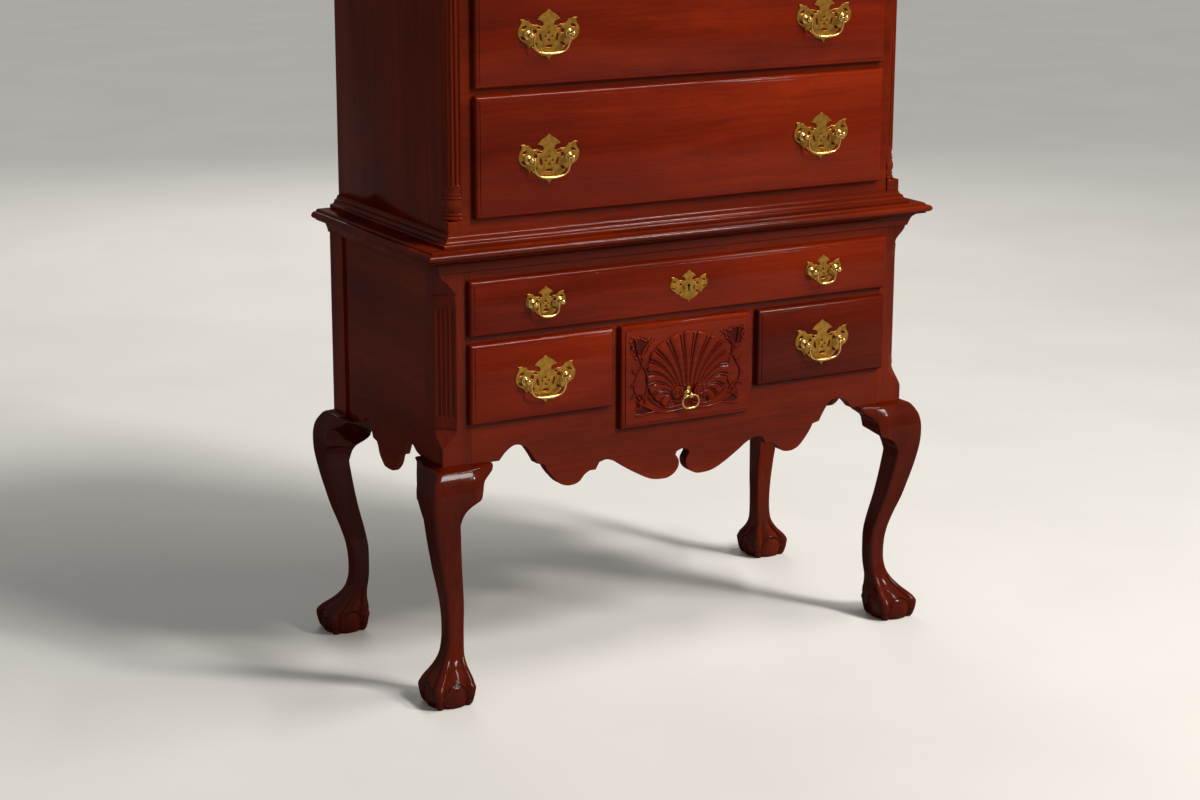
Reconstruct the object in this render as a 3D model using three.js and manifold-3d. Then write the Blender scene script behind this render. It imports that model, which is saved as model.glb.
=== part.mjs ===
// A tall chest of drawers on cabriole legs, in two cases, one standing on the other.
// Millimetres, +Z up. The front faces -Y, and the origin is on the floor under the middle.
import * as THREE from 'three';
import { mergeVertices } from 'three/addons/utils/BufferGeometryUtils.js';
import Module from 'manifold-3d';

const wasm = await Module();
wasm.setup();

// Lower case
const lowerWidth = 926;
const lowerDepth = 438;
const lowerTop = 771;
const kneeLine = 410;
const post = 53;
const lowerFrontThickness = 22;
const sideThickness = 20;
const lowerSideThickness = 12;
const lowerSideRecess = 4;
const backThickness = 12;
const tenon = 5;
const cutOverrun = 4;

// Apron edges, measured down from the knee line
const apronPeak = 24;
const apronLobe = 76;
const sidePeak = 17;
const sideLobe = 54.5;

// Drawer fronts of the lower case
const longFrontHeight = 93;
const sideFrontHeight = 135;
const shellFrontHeight = 179;
const topReveal = 50.6;
const smallReveal = 13.2;
const shellOpeningHalf = 125.3;
const divider = 25.4;
const postLap = 4.5;
const stileStrip = 5;

// Corner chamfers of the front posts
const chamfer = 28;
const chamferTip = 0.6;
const chamferTop = 35;
const chamferBottom = 26;
const chamferTongue = 38;

// Knee blocks
const kneeBlockWidth = 39;
const kneeBlockDrop = 60;
const kneeBlockDepth = 32;
const kneeBlockBulge = 24;

// Waist frame and its two mouldings
const waistFrameHeight = 7;
const waistFrameInset = 50;
const waistReach = 34;
const waistDrop = 36;
const baseReach = 17;
const baseHeight = 21;

// Upper case
const upperStep = 19;
const upperSetback = 4;
const columnRadius = 23;
const upperStile = 26.4;
const upperFrontHeights = [199, 180, 162, 145];
const upperLipGap = 11.4;
const upperBottomReveal = 41.8;
const friezeHeight = 50;
const boardThickness = 18;

// Quarter columns
const plinthHeight = 41;
const plinthReach = 2.5;
const columnBase = 53;
const columnCapital = 34;
const columnTopBlock = 64;
const fluteDepth = 3;
const fluteCount = 5;

// Crown
const corniceReach = 36;
const corniceHeight = 48;
const corniceSeat = 34;
const scrollRise = 205;
const scrollEnd = 88;
const notchHalf = 52;
const plinthBlockHalf = 24;
const plinthBlockHeight = 40;
const notchFloor = 106;
const rosetteRadius = 33;
const rosetteProud = 2;
const finialHeight = 190;
const finialRadius = 36;

// Drawers
const lipOverlap = 5;
const lipThickness = 8.7;
const fieldRise = 4;
const fieldMargin = 8;
const frontSeat = 12;
const fitGap = 1.5;
const seatGap = 0.3;
const boxWall = 12;
const boxFloor = 8;
const boxHeadroom = 8;
const boxBackRoom = 10;
const runnerHeight = 18;
const runnerWidth = 25;
const upperRunnerWidth = 50;

// Pulls
const plateThickness = 1.6;
const largePlate = { width: 112, height: 82, posts: 76, drop: 30 };
const smallPlate = { width: 74, height: 55, posts: 51, drop: 22 };
const pivotStand = 11;
const ballRadius = 5.2;
const stemRadius = 2.8;
const rosetteSeatRadius = 7;
const rosetteSeatHeight = 2;
const bailRadius = 1.7;
const bailSwell = 1.1;
const pinGap = 0.45;
const pinTip = 1;
const upperPullShare = 0.6036;
const upperPullDrop = 8;
const longPullShare = 0.5983;
const sidePullDrop = 2;
const shellPullDrop = 41;
const ringHalfWidth = 16.5;
const ringDrop = 23;
const ringEye = 6;
const keyholeRadius = 2.6;
const keyholeLength = 9;

// Mesh fineness
const legSides = 16;
const turnedSides = 12;
const ballSides = 8;
const bailSides = 6;
const scrollSteps = 12;
const clawCount = 4;

// Heights and places that follow from the sizes above
const lowerHalf = lowerWidth / 2;
const upperHalf = lowerHalf - upperStep;
const caseBack = lowerDepth / 2;
const lowerFace = -lowerDepth / 2;
const upperFace = lowerFace + upperSetback;
const apronHalf = lowerHalf - post;
const backInner = caseBack - backThickness;
const waistTop = lowerTop + waistFrameHeight;
const upperFirstLip = waistTop + upperBottomReveal;
const upperFrontsHeight = upperFrontHeights.reduce((sum, rise) => sum + rise + upperLipGap, -upperLipGap);
const upperTop = upperFirstLip + upperFrontsHeight + friezeHeight;
const upperOpeningHalf = upperHalf - columnRadius - upperStile;
const upperSideInner = upperHalf - sideThickness;
const columnX = upperHalf - columnRadius;
const columnY = upperFace + columnRadius;
const longLipTop = lowerTop - topReveal;
const smallLipTop = longLipTop - longFrontHeight - smallReveal;

// Outline tables. Across: share of the half span. Up: share of the rise from lobe to peak.
const apronShares = [
  [1, 0.76], [0.905, 0.76], [0.873, 0.76], [0.841, 0.9], [0.802, 0.99], [0.751, 0.93], [0.729, 0.82],
  [0.698, 0.61], [0.666, 0.58], [0.649, 0.46], [0.622, 0.32], [0.588, 0.19], [0.546, 0.14],
  [0.502, 0.18], [0.473, 0.3], [0.451, 0.35], [0.422, 0.35], [0.405, 0.47], [0.373, 0.5],
  [0.334, 0.45], [0.276, 0.3], [0.212, 0.14], [0.146, 0.02], [0.11, 0], [0.068, 0.01],
  [0.032, 0.1], [0.018, 0.2], [0.018, 0.29], [0.034, 0.4], [0.026, 0.46],
];
const sideApronShares = [
  [1, 0.7623], [0.777, 0.7623], [0.711, 0.79], [0.669, 0.825], [0.627, 0.888], [0.59, 0.937], [0.53, 1],
  [0.476, 0.944], [0.431, 0.818], [0.398, 0.678], [0.373, 0.573], [0.286, 0.531], [0.259, 0.448],
  [0.226, 0.28], [0.169, 0.133], [0.096, 0.014],
];

// Leg sections: height as a share of the knee line, then along the corner's diagonal the outer and
// inner edge as shares of the post, how square the section is, and how far the claws stand out.
const legShares = [
  [1.012, -0.1, -1.33, 7, 0], [1.003, 0.1, -1.3, 7, 0], [0.996, 0.33, -1.28, 7, 0],
  [0.976, 0.515, -1.245, 7, 0], [0.951, 0.66, -1.15, 7, 0], [0.907, 0.77, -0.96, 7, 0],
  [0.866, 0.785, -0.72, 6.5, 0], [0.824, 0.765, -0.54, 6, 0], [0.785, 0.71, -0.505, 6, 0],
  [0.717, 0.575, -0.575, 5.5, 0], [0.639, 0.385, -0.685, 5, 0], [0.559, 0.17, -0.82, 5, 0],
  [0.478, -0.1, -0.99, 4.5, 0], [0.398, -0.31, -1.12, 4, 0], [0.32, -0.39, -1.14, 3.5, 0],
  [0.241, -0.35, -1.11, 3, 0], [0.202, -0.24, -1.06, 2.5, 0.04], [0.166, -0.04, -1.01, 2, 0.12],
  [0.129, 0.26, -0.99, 2, 0.2], [0.11, 0.5, -1.03, 2, 0.24], [0.073, 0.8, -1.09, 2, 0.24],
  [0.041, 0.795, -1.075, 2, 0.22], [0.017, 0.73, -0.99, 2, 0.16], [0, 0.62, -0.86, 2, 0.12],
];

// Moulding outlines: outward share of the reach, then share of the height.
const waistShares = [
  [0, 0], [0.12, 0.06], [0.3, 0.17], [0.5, 0.35], [0.72, 0.58], [0.84, 0.64], [1, 0.72], [1, 0.86],
  [0.84, 0.94], [0.62, 1],
];
const baseShares = [
  [1, 0], [1, 0.26], [0.72, 0.36], [0.56, 0.5], [0.58, 0.66], [0.44, 0.74], [0.24, 0.82], [0.15, 1],
];
const corniceShares = [
  [0, 0], [0.12, 0], [0.14, 0.12], [0.24, 0.32], [0.4, 0.46], [0.6, 0.53], [0.64, 0.6],
  [0.82, 0.66], [0.93, 0.78], [0.95, 0.9], [1, 0.92], [1, 1],
];

// Knee blocks: shares of the width from the post, of the drop, of the bulge and of the depth, and how
// much of the drop is face. Their section: shares of the bulge outward and of the face downward.
const frontBlockShares = [
  [-1, 1.65, 1.2, 0.55, 1], [-0.87, 1.48, 1.23, 0.63, 1], [-0.74, 1.25, 1.23, 0.69, 1],
  [-0.54, 1.1, 1.23, 0.8, 1], [-0.33, 1.01, 1.23, 0.88, 1], [-0.13, 0.95, 1.21, 0.94, 1],
  [0.05, 0.91, 1.13, 0.95, 1], [0.14, 0.85, 1.08, 0.95, 1], [0.18, 0.77, 1.05, 0.95, 1],
  [0.22, 0.63, 1.02, 0.95, 1], [0.27, 0.48, 0.94, 0.95, 1], [0.36, 0.38, 0.83, 0.95, 1],
  [0.51, 0.31, 0.71, 0.95, 1], [0.67, 0.24, 0.59, 0.95, 1], [0.82, 0.17, 0.47, 0.95, 1],
  [0.94, 0.04, 0.27, 0.95, 1],
];
const sideBlockShares = [
  [-1, 1.62, 1.18, 0.55, 0.92], [-0.9, 1.5, 1.2, 0.62, 0.93], [-0.82, 1.32, 1.23, 0.69, 0.94],
  [-0.69, 1.17, 1.23, 0.72, 0.91], [-0.59, 1.07, 1.23, 0.78, 0.9], [-0.48, 1.01, 1.23, 0.81, 0.89],
  [-0.45, 0.99, 1.15, 0.81, 0.5], [-0.28, 0.92, 1.03, 0.88, 0.41], [-0.08, 0.85, 0.9, 0.91, 0.36],
  [0.13, 0.78, 0.74, 0.94, 0.31], [0.36, 0.69, 0.57, 0.97, 0.24], [0.59, 0.61, 0.4, 0.97, 0.09],
  [0.85, 0.49, 0.29, 0.97, 0.08], [1, 0.33, 0.22, 0.97, 0.11],
];
const kneeSectionShares = [[0, 0], [0.55, 0.09], [0.84, 0.27], [1, 0.6], [0.96, 1]];

// Where a post's chamfer runs out: share of the run, then share of the chamfer's depth.
const tongueShares = [[0, 0], [0.4, 0.25], [0.8, 0.7], [1, 1]];

// Turned pieces: share of the radius, then share of the height.
const finialShares = [
  [0, 0], [0.62, 0], [0.62, 0.04], [0.3, 0.07], [0.24, 0.12], [0.4, 0.16], [0.9, 0.28], [1, 0.38],
  [0.86, 0.44], [0.5, 0.47], [0.36, 0.5], [0.5, 0.54], [0.62, 0.64], [0.5, 0.78], [0.26, 0.91], [0, 1],
];
const columnBaseShares = [
  [1.06, 0], [1.1, 0.06], [1.03, 0.1], [0.97, 0.16], [1.03, 0.42], [1.09, 0.5], [1.04, 0.58],
  [0.96, 0.66], [1.02, 0.74], [0.92, 0.82],
];
const columnCapitalShares = [
  [0.92, 0.1], [1, 0.3], [0.94, 0.42], [1.02, 0.7], [1.09, 0.86], [1.06, 1],
];

// The right half of a pierced back plate: share of the half width, then share of the height.
const plateShares = [
  [0, 1], [0.11, 0.942], [0.26, 0.88], [0.387, 0.8], [0.3, 0.79], [0.2, 0.753], [0.187, 0.684],
  [0.26, 0.664], [0.377, 0.698], [0.51, 0.704], [0.587, 0.735], [0.663, 0.795], [0.71, 0.78],
  [0.796, 0.812], [0.94, 0.813], [0.89, 0.777], [0.92, 0.715], [1, 0.617], [0.996, 0.513],
  [0.91, 0.419], [0.777, 0.363], [0.644, 0.255], [0.58, 0.3], [0.5, 0.235], [0.36, 0.15], [0.2, 0.1],
  [0.06, 0.07], [0, 0],
];
const platePostShare = 0.51;

// The ball head of a post: share of its radius outward, then forward of its middle.
const ballShares = [[0.84, -0.55], [1, 0], [0.78, 0.62]];
const ballNeckShare = 0.85;

// Half of a bail below its pin: share of its half width beside the ball, share of the drop.
const bailShares = [
  [1, 0.14], [1.06, 0.36], [1.02, 0.6], [0.84, 0.83], [0.5, 0.95], [0.2, 1],
];
const ringShares = [
  [0, 0], [0.36, 0.02], [0.8, 0.14], [1, 0.42], [0.86, 0.76], [0.46, 0.96], [0, 1],
];

// The curved edge of a drawer front: share of the field's rise, then share of its margin.
const fieldShares = [[0, 0], [0.75, 0.4], [1, 1]];

const scrollTangentShares = [0.42, 0.5];
const scrollCrestShare = 1.14;

const wood = {
  case: { color: 0x7a2c12, roughness: 0.32 },
  front: { color: 0x8a2a10, roughness: 0.28 },
  inner: { color: 0xb08a58, roughness: 0.7 },
  back: { color: 0x5e3a20, roughness: 0.8 },
};
const brass = { color: 0x9c7430, roughness: 0.35, metalness: 1 };

const highboy = new THREE.Group();

// A closed skin over rings that all have the same number of points.
// The cap's outline is the ring flattened to two dimensions.
function skin(rings, capOutline, looped = false) {
  const count = rings[0].length;
  const faces = [];
  const spans = looped ? rings.length : rings.length - 1;
  for (let r = 0; r < spans; r += 1) {
    const here = r * count;
    const next = ((r + 1) % rings.length) * count;
    for (let i = 0; i < count; i += 1) {
      const j = (i + 1) % count;
      faces.push(here + i, here + j, next + j, here + i, next + j, next + i);
    }
  }
  if (!looped) {
    const outline = capOutline.map(([x, y]) => new THREE.Vector2(x, y));
    const sign = THREE.ShapeUtils.area(outline) > 0 ? 1 : -1;
    const last = (rings.length - 1) * count;
    for (const [a, b, c] of THREE.ShapeUtils.triangulateShape(outline, [])) {
      const [first, second] = sign > 0 ? [b, c] : [c, b];
      faces.push(a, second, first, last + a, last + first, last + second);
    }
  }
  const geometry = new THREE.BufferGeometry();
  geometry.setAttribute('position', new THREE.Float32BufferAttribute(rings.flat(2), 3));
  geometry.setIndex(faces);
  return faceOut(geometry);
}

// Turns every face over when the skin encloses its volume inside out.
function faceOut(geometry) {
  const at = geometry.attributes.position;
  const index = geometry.index.array;
  const corners = [new THREE.Vector3(), new THREE.Vector3(), new THREE.Vector3()];
  let volume = 0;
  for (let i = 0; i < index.length; i += 3) {
    corners.forEach((corner, k) => corner.fromBufferAttribute(at, index[i + k]));
    volume += corners[0].dot(corners[1].cross(corners[2]));
  }
  if (volume < 0) {
    for (let i = 0; i < index.length; i += 3) {
      const swap = index[i + 1];
      index[i + 1] = index[i + 2];
      index[i + 2] = swap;
    }
  }
  return geometry;
}

function solid(geometry) {
  const bare = geometry.clone();
  bare.deleteAttribute('normal');
  bare.deleteAttribute('uv');
  const merged = mergeVertices(bare);
  return new wasm.Manifold(new wasm.Mesh({
    numProp: 3,
    vertProperties: new Float32Array(merged.attributes.position.array),
    triVerts: new Uint32Array(merged.index.array),
  }));
}

function join(solids) {
  return solids.reduce((whole, next) => whole.add(next));
}

function geometryOf(manifold) {
  const { vertProperties, triVerts } = manifold.getMesh();
  const geometry = new THREE.BufferGeometry();
  geometry.setAttribute('position', new THREE.BufferAttribute(new Float32Array(vertProperties), 3));
  geometry.setIndex(new THREE.BufferAttribute(new Uint32Array(triVerts), 1));
  return geometry;
}

function block(x0, x1, y0, y1, z0, z1) {
  const geometry = new THREE.BoxGeometry(x1 - x0, y1 - y0, z1 - z0);
  geometry.translate((x0 + x1) / 2, (y0 + y1) / 2, (z0 + z1) / 2);
  return solid(geometry);
}

// A flat board: the outline lies across X and up Z, and the board runs from y0 back to y1.
function board(outline, holes, y0, y1) {
  const shape = new THREE.Shape(outline.map(([x, z]) => new THREE.Vector2(x, z)));
  shape.holes = holes.map((hole) => new THREE.Path(hole.map(([x, z]) => new THREE.Vector2(x, z))));
  const geometry = new THREE.ExtrudeGeometry(shape, { depth: y1 - y0, bevelEnabled: false });
  geometry.rotateX(Math.PI / 2);
  geometry.translate(0, y1, 0);
  return solid(geometry);
}

function rectangle(x0, x1, z0, z1) {
  return [[x0, z0], [x1, z0], [x1, z1], [x0, z1]];
}

function mirrored(points) {
  const inner = points.filter(([x]) => x > 0);
  return [...points, ...inner.reverse().map(([x, z]) => [-x, z])];
}

function addMesh(name, shape, finish) {
  const geometry = shape.isBufferGeometry ? shape : geometryOf(shape);
  const mesh = new THREE.Mesh(geometry, new THREE.MeshStandardMaterial(finish));
  mesh.name = name;
  highboy.add(mesh);
  return mesh;
}

// A turned shape about +Z, standing on the origin.
function turned(profile, sides) {
  const geometry = new THREE.LatheGeometry(profile.map(([r, z]) => new THREE.Vector2(r, z)), sides);
  geometry.rotateX(Math.PI / 2);
  const index = geometry.index.array;
  geometry.setIndex(new THREE.BufferAttribute(new Uint32Array(index), 1));
  return faceOut(geometry);
}

// A tube along flat points, whose radius may change from point to point.
function tube(points, radii, sides, looped = false) {
  const count = points.length;
  const rings = points.map((at, i) => {
    const before = points[looped ? (i + count - 1) % count : Math.max(i - 1, 0)];
    const after = points[looped ? (i + 1) % count : Math.min(i + 1, count - 1)];
    const run = Math.hypot(after[0] - before[0], after[1] - before[1]);
    const across = [(after[1] - before[1]) / run, -(after[0] - before[0]) / run];
    return Array.from({ length: sides }, (_, k) => {
      const turn = (k / sides) * 2 * Math.PI;
      const out = radii[i] * Math.cos(turn);
      return [at[0] + across[0] * out, radii[i] * Math.sin(turn), at[1] + across[1] * out];
    });
  });
  const cap = rings[0].map((_, k) => {
    const turn = (k / sides) * 2 * Math.PI;
    return [Math.cos(turn), Math.sin(turn)];
  });
  return skin(rings, cap, looped);
}

// Legs: every leg is worked out at the right front corner, where out means +X and front means -Y.

function cornerPoint(out, front, z) {
  return [lowerHalf + out, lowerFace - front, z];
}

function legBody() {
  const rings = legShares.map(([high, outer, inner, square, claw]) => {
    const middle = (outer + inner) * post / 2;
    const centre = middle / Math.SQRT2;
    const reach = (outer - inner) * post / 2;
    return Array.from({ length: legSides }, (_, k) => {
      const turn = (k / legSides) * 2 * Math.PI;
      const c = Math.cos(turn);
      const s = Math.sin(turn);
      const flat = (Math.abs(c) ** square + Math.abs(s) ** square) ** (-1 / square);
      const corner = 2 ** (0.5 - 1 / square);
      const lobe = Math.max(0, -Math.cos(clawCount * turn)) ** 2;
      const radius = reach * flat / corner * (1 + claw * lobe) / (1 + claw);
      return cornerPoint(centre + radius * c, centre + radius * s, high * kneeLine);
    });
  });
  return solid(skin(rings, rings[0].map(([x, y]) => [x, y])));
}

function postBody(chamfered) {
  const bottom = kneeLine + chamferBottom;
  const top = lowerTop - chamferTop;
  const stops = chamfered ? [
    ...tongueShares.map(([rise, cut]) => [bottom + rise * chamferTongue, cut]),
    ...tongueShares.map(([rise, cut]) => [top - rise * chamferTongue, cut]).reverse(),
  ] : [];
  const levels = [[kneeLine, 0], ...stops, [lowerTop, 0]];
  const rings = levels.map(([z, share]) => {
    const cut = Math.max(share * chamfer, chamferTip);
    const inner = -post;
    return [
      cornerPoint(inner, inner, z), cornerPoint(0, inner, z), cornerPoint(0, -cut, z),
      cornerPoint(-cut, 0, z), cornerPoint(inner, 0, z),
    ];
  });
  return solid(skin(rings, rings[0].map(([x, y]) => [x, y])));
}

// The curved bracket beside a knee, under the apron. It fades from the knee's bulge to the apron's face.
function kneeBlock(alongFront) {
  const place = alongFront
    ? (across, out, z) => cornerPoint(-across, out, z)
    : (across, out, z) => cornerPoint(out, -across, z);
  const shares = alongFront ? frontBlockShares : sideBlockShares;
  const sections = shares.map(([along, drop, bulge, depth, face]) => {
    const swell = bulge * kneeBlockBulge;
    const fall = drop * kneeBlockDrop;
    const inward = -depth * kneeBlockDepth;
    const curve = kneeSectionShares.map(([out, down]) => [out * swell, kneeLine - down * face * fall]);
    const outline = [...curve, [inward, kneeLine - fall], [inward, kneeLine]];
    return { across: post + along * kneeBlockWidth, outline };
  });
  const rings = sections.map(({ across, outline }) => outline.map(([out, z]) => place(across, out, z)));
  return solid(skin(rings, sections[0].outline));
}

function flip(shape, axis) {
  return shape.mirror(axis);
}

function addLegs() {
  const front = join([legBody(), postBody(true), kneeBlock(true), kneeBlock(false)]);
  const rear = flip(join([legBody(), postBody(false), kneeBlock(false)]), [0, 1, 0]);
  addMesh('leg_front_right', front, wood.case);
  addMesh('leg_front_left', flip(front, [1, 0, 0]), wood.case);
  addMesh('leg_rear_right', rear, wood.case);
  addMesh('leg_rear_left', flip(rear, [1, 0, 0]), wood.case);
}

// Openings behind the drawer fronts

function opening(lip, inset = [lipOverlap, lipOverlap]) {
  const [x0, x1, z0, z1] = lip;
  return { x0: x0 + inset[0], x1: x1 - inset[1], z0: z0 + lipOverlap, z1: z1 - lipOverlap, lip };
}

function lowerOpenings() {
  const outer = apronHalf + postLap;
  const atPost = postLap + stileStrip;
  const inner = shellOpeningHalf + divider - lipOverlap;
  const shell = shellOpeningHalf + lipOverlap;
  const sideBottom = smallLipTop - sideFrontHeight;
  return {
    long: opening([-outer, outer, longLipTop - longFrontHeight, longLipTop], [atPost, atPost]),
    left: opening([-outer, -inner, sideBottom, smallLipTop], [atPost, lipOverlap]),
    shell: opening([-shell, shell, smallLipTop - shellFrontHeight, smallLipTop]),
    right: opening([inner, outer, sideBottom, smallLipTop], [lipOverlap, atPost]),
  };
}

function upperOpenings() {
  let bottom = upperFirstLip;
  return upperFrontHeights.map((height) => {
    const lipHalf = upperOpeningHalf + lipOverlap;
    const here = opening([-lipHalf, lipHalf, bottom, bottom + height]);
    bottom += height + upperLipGap;
    return here;
  });
}

function openingHole({ x0, x1, z0, z1 }) {
  return rectangle(x0, x1, z0, z1);
}

// Lower case

function apronEdge(shares, half, peak, lobe) {
  const low = kneeLine - lobe;
  return mirrored(shares.map(([across, up]) => [across * half, low + up * (peak + lobe)]));
}

function addLowerFrame() {
  const gaps = lowerOpenings();
  const edge = apronEdge(apronShares, apronHalf, apronPeak, apronLobe);
  const outline = [...edge, [-apronHalf, lowerTop], [apronHalf, lowerTop]];
  const frameBack = lowerFace + lowerFrontThickness;
  const rear = [frameBack - tenon, backInner];
  const pieces = [board(outline, Object.values(gaps).map(openingHole), lowerFace, frameBack)];
  for (const side of [-1, 1]) {
    const bar = (inner, outer, z1, z0 = z1 - runnerHeight) => {
      const [x0, x1] = side > 0 ? [inner, outer] : [-outer, -inner];
      pieces.push(block(x0, x1, ...rear, z0, z1));
    };
    const partition = [shellOpeningHalf, shellOpeningHalf + divider];
    bar(apronHalf - runnerWidth, apronHalf, gaps.long.z0);
    bar(apronHalf - runnerWidth, apronHalf, gaps.right.z0);
    bar(...partition, gaps.right.z1, gaps.shell.z0 - runnerHeight);
    bar(partition[1] - tenon, partition[1] + runnerWidth, gaps.right.z0);
    bar(partition[0] - runnerWidth, partition[0] + tenon, gaps.shell.z0);
  }
  addMesh('lower_front_frame', join(pieces), wood.case);
}

function addLowerSides() {
  const half = caseBack - post;
  const edge = apronEdge(sideApronShares, half, sidePeak, sideLobe);
  const outline = [...edge, [-half, lowerTop], [half, lowerTop]];
  const outer = lowerHalf - lowerSideRecess;
  const right = board(outline, [], -outer, lowerSideThickness - outer).rotate([0, 0, 90]);
  addMesh('lower_side_right', right, wood.case);
  addMesh('lower_side_left', flip(right, [1, 0, 0]), wood.case);
}

function addLowerBack() {
  addMesh('lower_back', block(-apronHalf, apronHalf, backInner, caseBack, kneeLine, lowerTop), wood.back);
}

// A moulding that runs round the left side, the front and the right side, mitred at the front corners.
function mouldingRun(profile, half, face) {
  const stations = [
    [-half, caseBack, -1, 0], [-half, face, -1, -1], [half, face, 1, -1], [half, caseBack, 1, 0],
  ];
  const rings = stations.map(([x, y, dx, dy]) => (
    profile.map(([out, z]) => [x + dx * out, y + dy * out, z])
  ));
  return solid(skin(rings, profile));
}

function addWaist() {
  const waistBottom = lowerTop - waistDrop;
  const height = waistTop - waistBottom;
  const outer = waistShares.map(([out, up]) => [out * waistReach, waistBottom + up * height]);
  const waist = mouldingRun(
    [...outer, [-waistFrameInset, waistTop], [-waistFrameInset, lowerTop], [0, lowerTop]],
    lowerHalf,
    lowerFace,
  );
  const seat = waistTop - waistFrameHeight / 2;
  const base = baseShares.map(([out, up]) => [out * baseReach, waistTop + up * baseHeight]);
  const section = [[baseReach, seat], ...base, [0, waistTop + baseHeight], [0, seat]];
  const retainer = mouldingRun(section, upperHalf, upperFace);
  addMesh('waist_moulding', waist.add(retainer), wood.case);
}

// Upper case

function addUpperFrame() {
  const gaps = upperOpenings();
  const frontBack = columnY;
  const rear = [frontBack - tenon, backInner];
  const across = [-upperSideInner, upperSideInner];
  const pieces = [
    board(rectangle(-columnX, columnX, waistTop, upperTop), gaps.map(openingHole), upperFace, frontBack),
    block(...across, frontBack, backInner, waistTop, waistTop + boardThickness),
    block(...across, frontBack, backInner, upperTop - boardThickness, upperTop),
    block(-columnX, columnX, ...rear, waistTop, waistTop + boardThickness),
    block(-columnX, columnX, ...rear, upperTop - boardThickness, upperTop),
  ];
  for (const { x1, z0 } of gaps) {
    for (const side of [-1, 1]) {
      const bar = (inner, outer, low, high, y0) => {
        const [a, b] = side > 0 ? [inner, outer] : [-outer, -inner];
        pieces.push(block(a, b, y0, backInner, low, high));
      };
      const inner = upperSideInner - upperRunnerWidth;
      bar(inner, upperSideInner, z0 - runnerHeight, z0, frontBack);
      bar(inner, columnX, z0 - runnerHeight, z0, frontBack - tenon);
      bar(x1, upperSideInner, z0 - runnerHeight / 2, z0 + runnerHeight, frontBack);
    }
  }
  addMesh('upper_front_frame', join(pieces), wood.case);
}

function addUpperSides() {
  const right = block(upperSideInner, upperHalf, columnY, caseBack, waistTop, upperTop);
  addMesh('upper_side_right', right, wood.case);
  addMesh('upper_side_left', flip(right, [1, 0, 0]), wood.case);
  const back = block(-upperSideInner, upperSideInner, backInner, caseBack, waistTop, upperTop);
  addMesh('upper_back', back, wood.back);
}

function columnRing(radius, z, fluted) {
  const steps = fluteCount * 2;
  const arc = Array.from({ length: steps + 1 }, (_, k) => {
    const turn = (k / steps) * Math.PI / 2;
    const r = radius - (fluted && k % 2 === 1 ? fluteDepth : 0);
    return [columnX + r * Math.cos(turn), columnY - r * Math.sin(turn), z];
  });
  return [[columnX, columnY, z], ...arc];
}

function addColumns() {
  const baseBottom = waistTop + plinthHeight;
  const shaftBottom = baseBottom + columnBase;
  const blockBottom = upperTop - columnTopBlock;
  const shaftTop = blockBottom - columnCapital;
  const turnedRing = (bottom, height) => ([r, up]) => (
    columnRing(r * columnRadius, bottom + up * height, false)
  );
  const rings = [
    ...columnBaseShares.map(turnedRing(baseBottom, columnBase)),
    columnRing(columnRadius, shaftBottom, false), columnRing(columnRadius, shaftBottom + fluteDepth, true),
    columnRing(columnRadius, shaftTop - fluteDepth, true), columnRing(columnRadius, shaftTop, false),
    ...columnCapitalShares.map(turnedRing(shaftTop, columnCapital)),
  ];
  const shaft = solid(skin(rings, rings[0].map(([x, y]) => [x, y])));
  const square = (reach, z0, z1) => block(columnX, upperHalf + reach, upperFace - reach, columnY, z0, z1);
  const right = join([
    shaft, square(0, waistTop, baseBottom), square(0, blockBottom, upperTop),
    square(plinthReach, waistTop + baseHeight, baseBottom),
  ]);
  addMesh('quarter_column_right', right, wood.case);
  addMesh('quarter_column_left', flip(right, [1, 0, 0]), wood.case);
}

// Crown: the scrolled board, its mouldings and their returns down the sides

function scrollStations() {
  const eaves = upperTop - corniceSeat;
  const run = upperHalf - scrollEnd;
  const curve = new THREE.CubicBezierCurve(
    new THREE.Vector2(upperHalf, eaves),
    new THREE.Vector2(upperHalf - scrollTangentShares[0] * run, eaves),
    new THREE.Vector2(scrollEnd + scrollTangentShares[1] * run, eaves + scrollCrestShare * scrollRise),
    new THREE.Vector2(scrollEnd, eaves + scrollRise),
  );
  return Array.from({ length: scrollSteps + 1 }, (_, i) => {
    const at = curve.getPoint(i / scrollSteps);
    const along = curve.getTangent(i / scrollSteps);
    return { x: at.x, z: at.y, upX: along.y, upZ: -along.x };
  });
}

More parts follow.
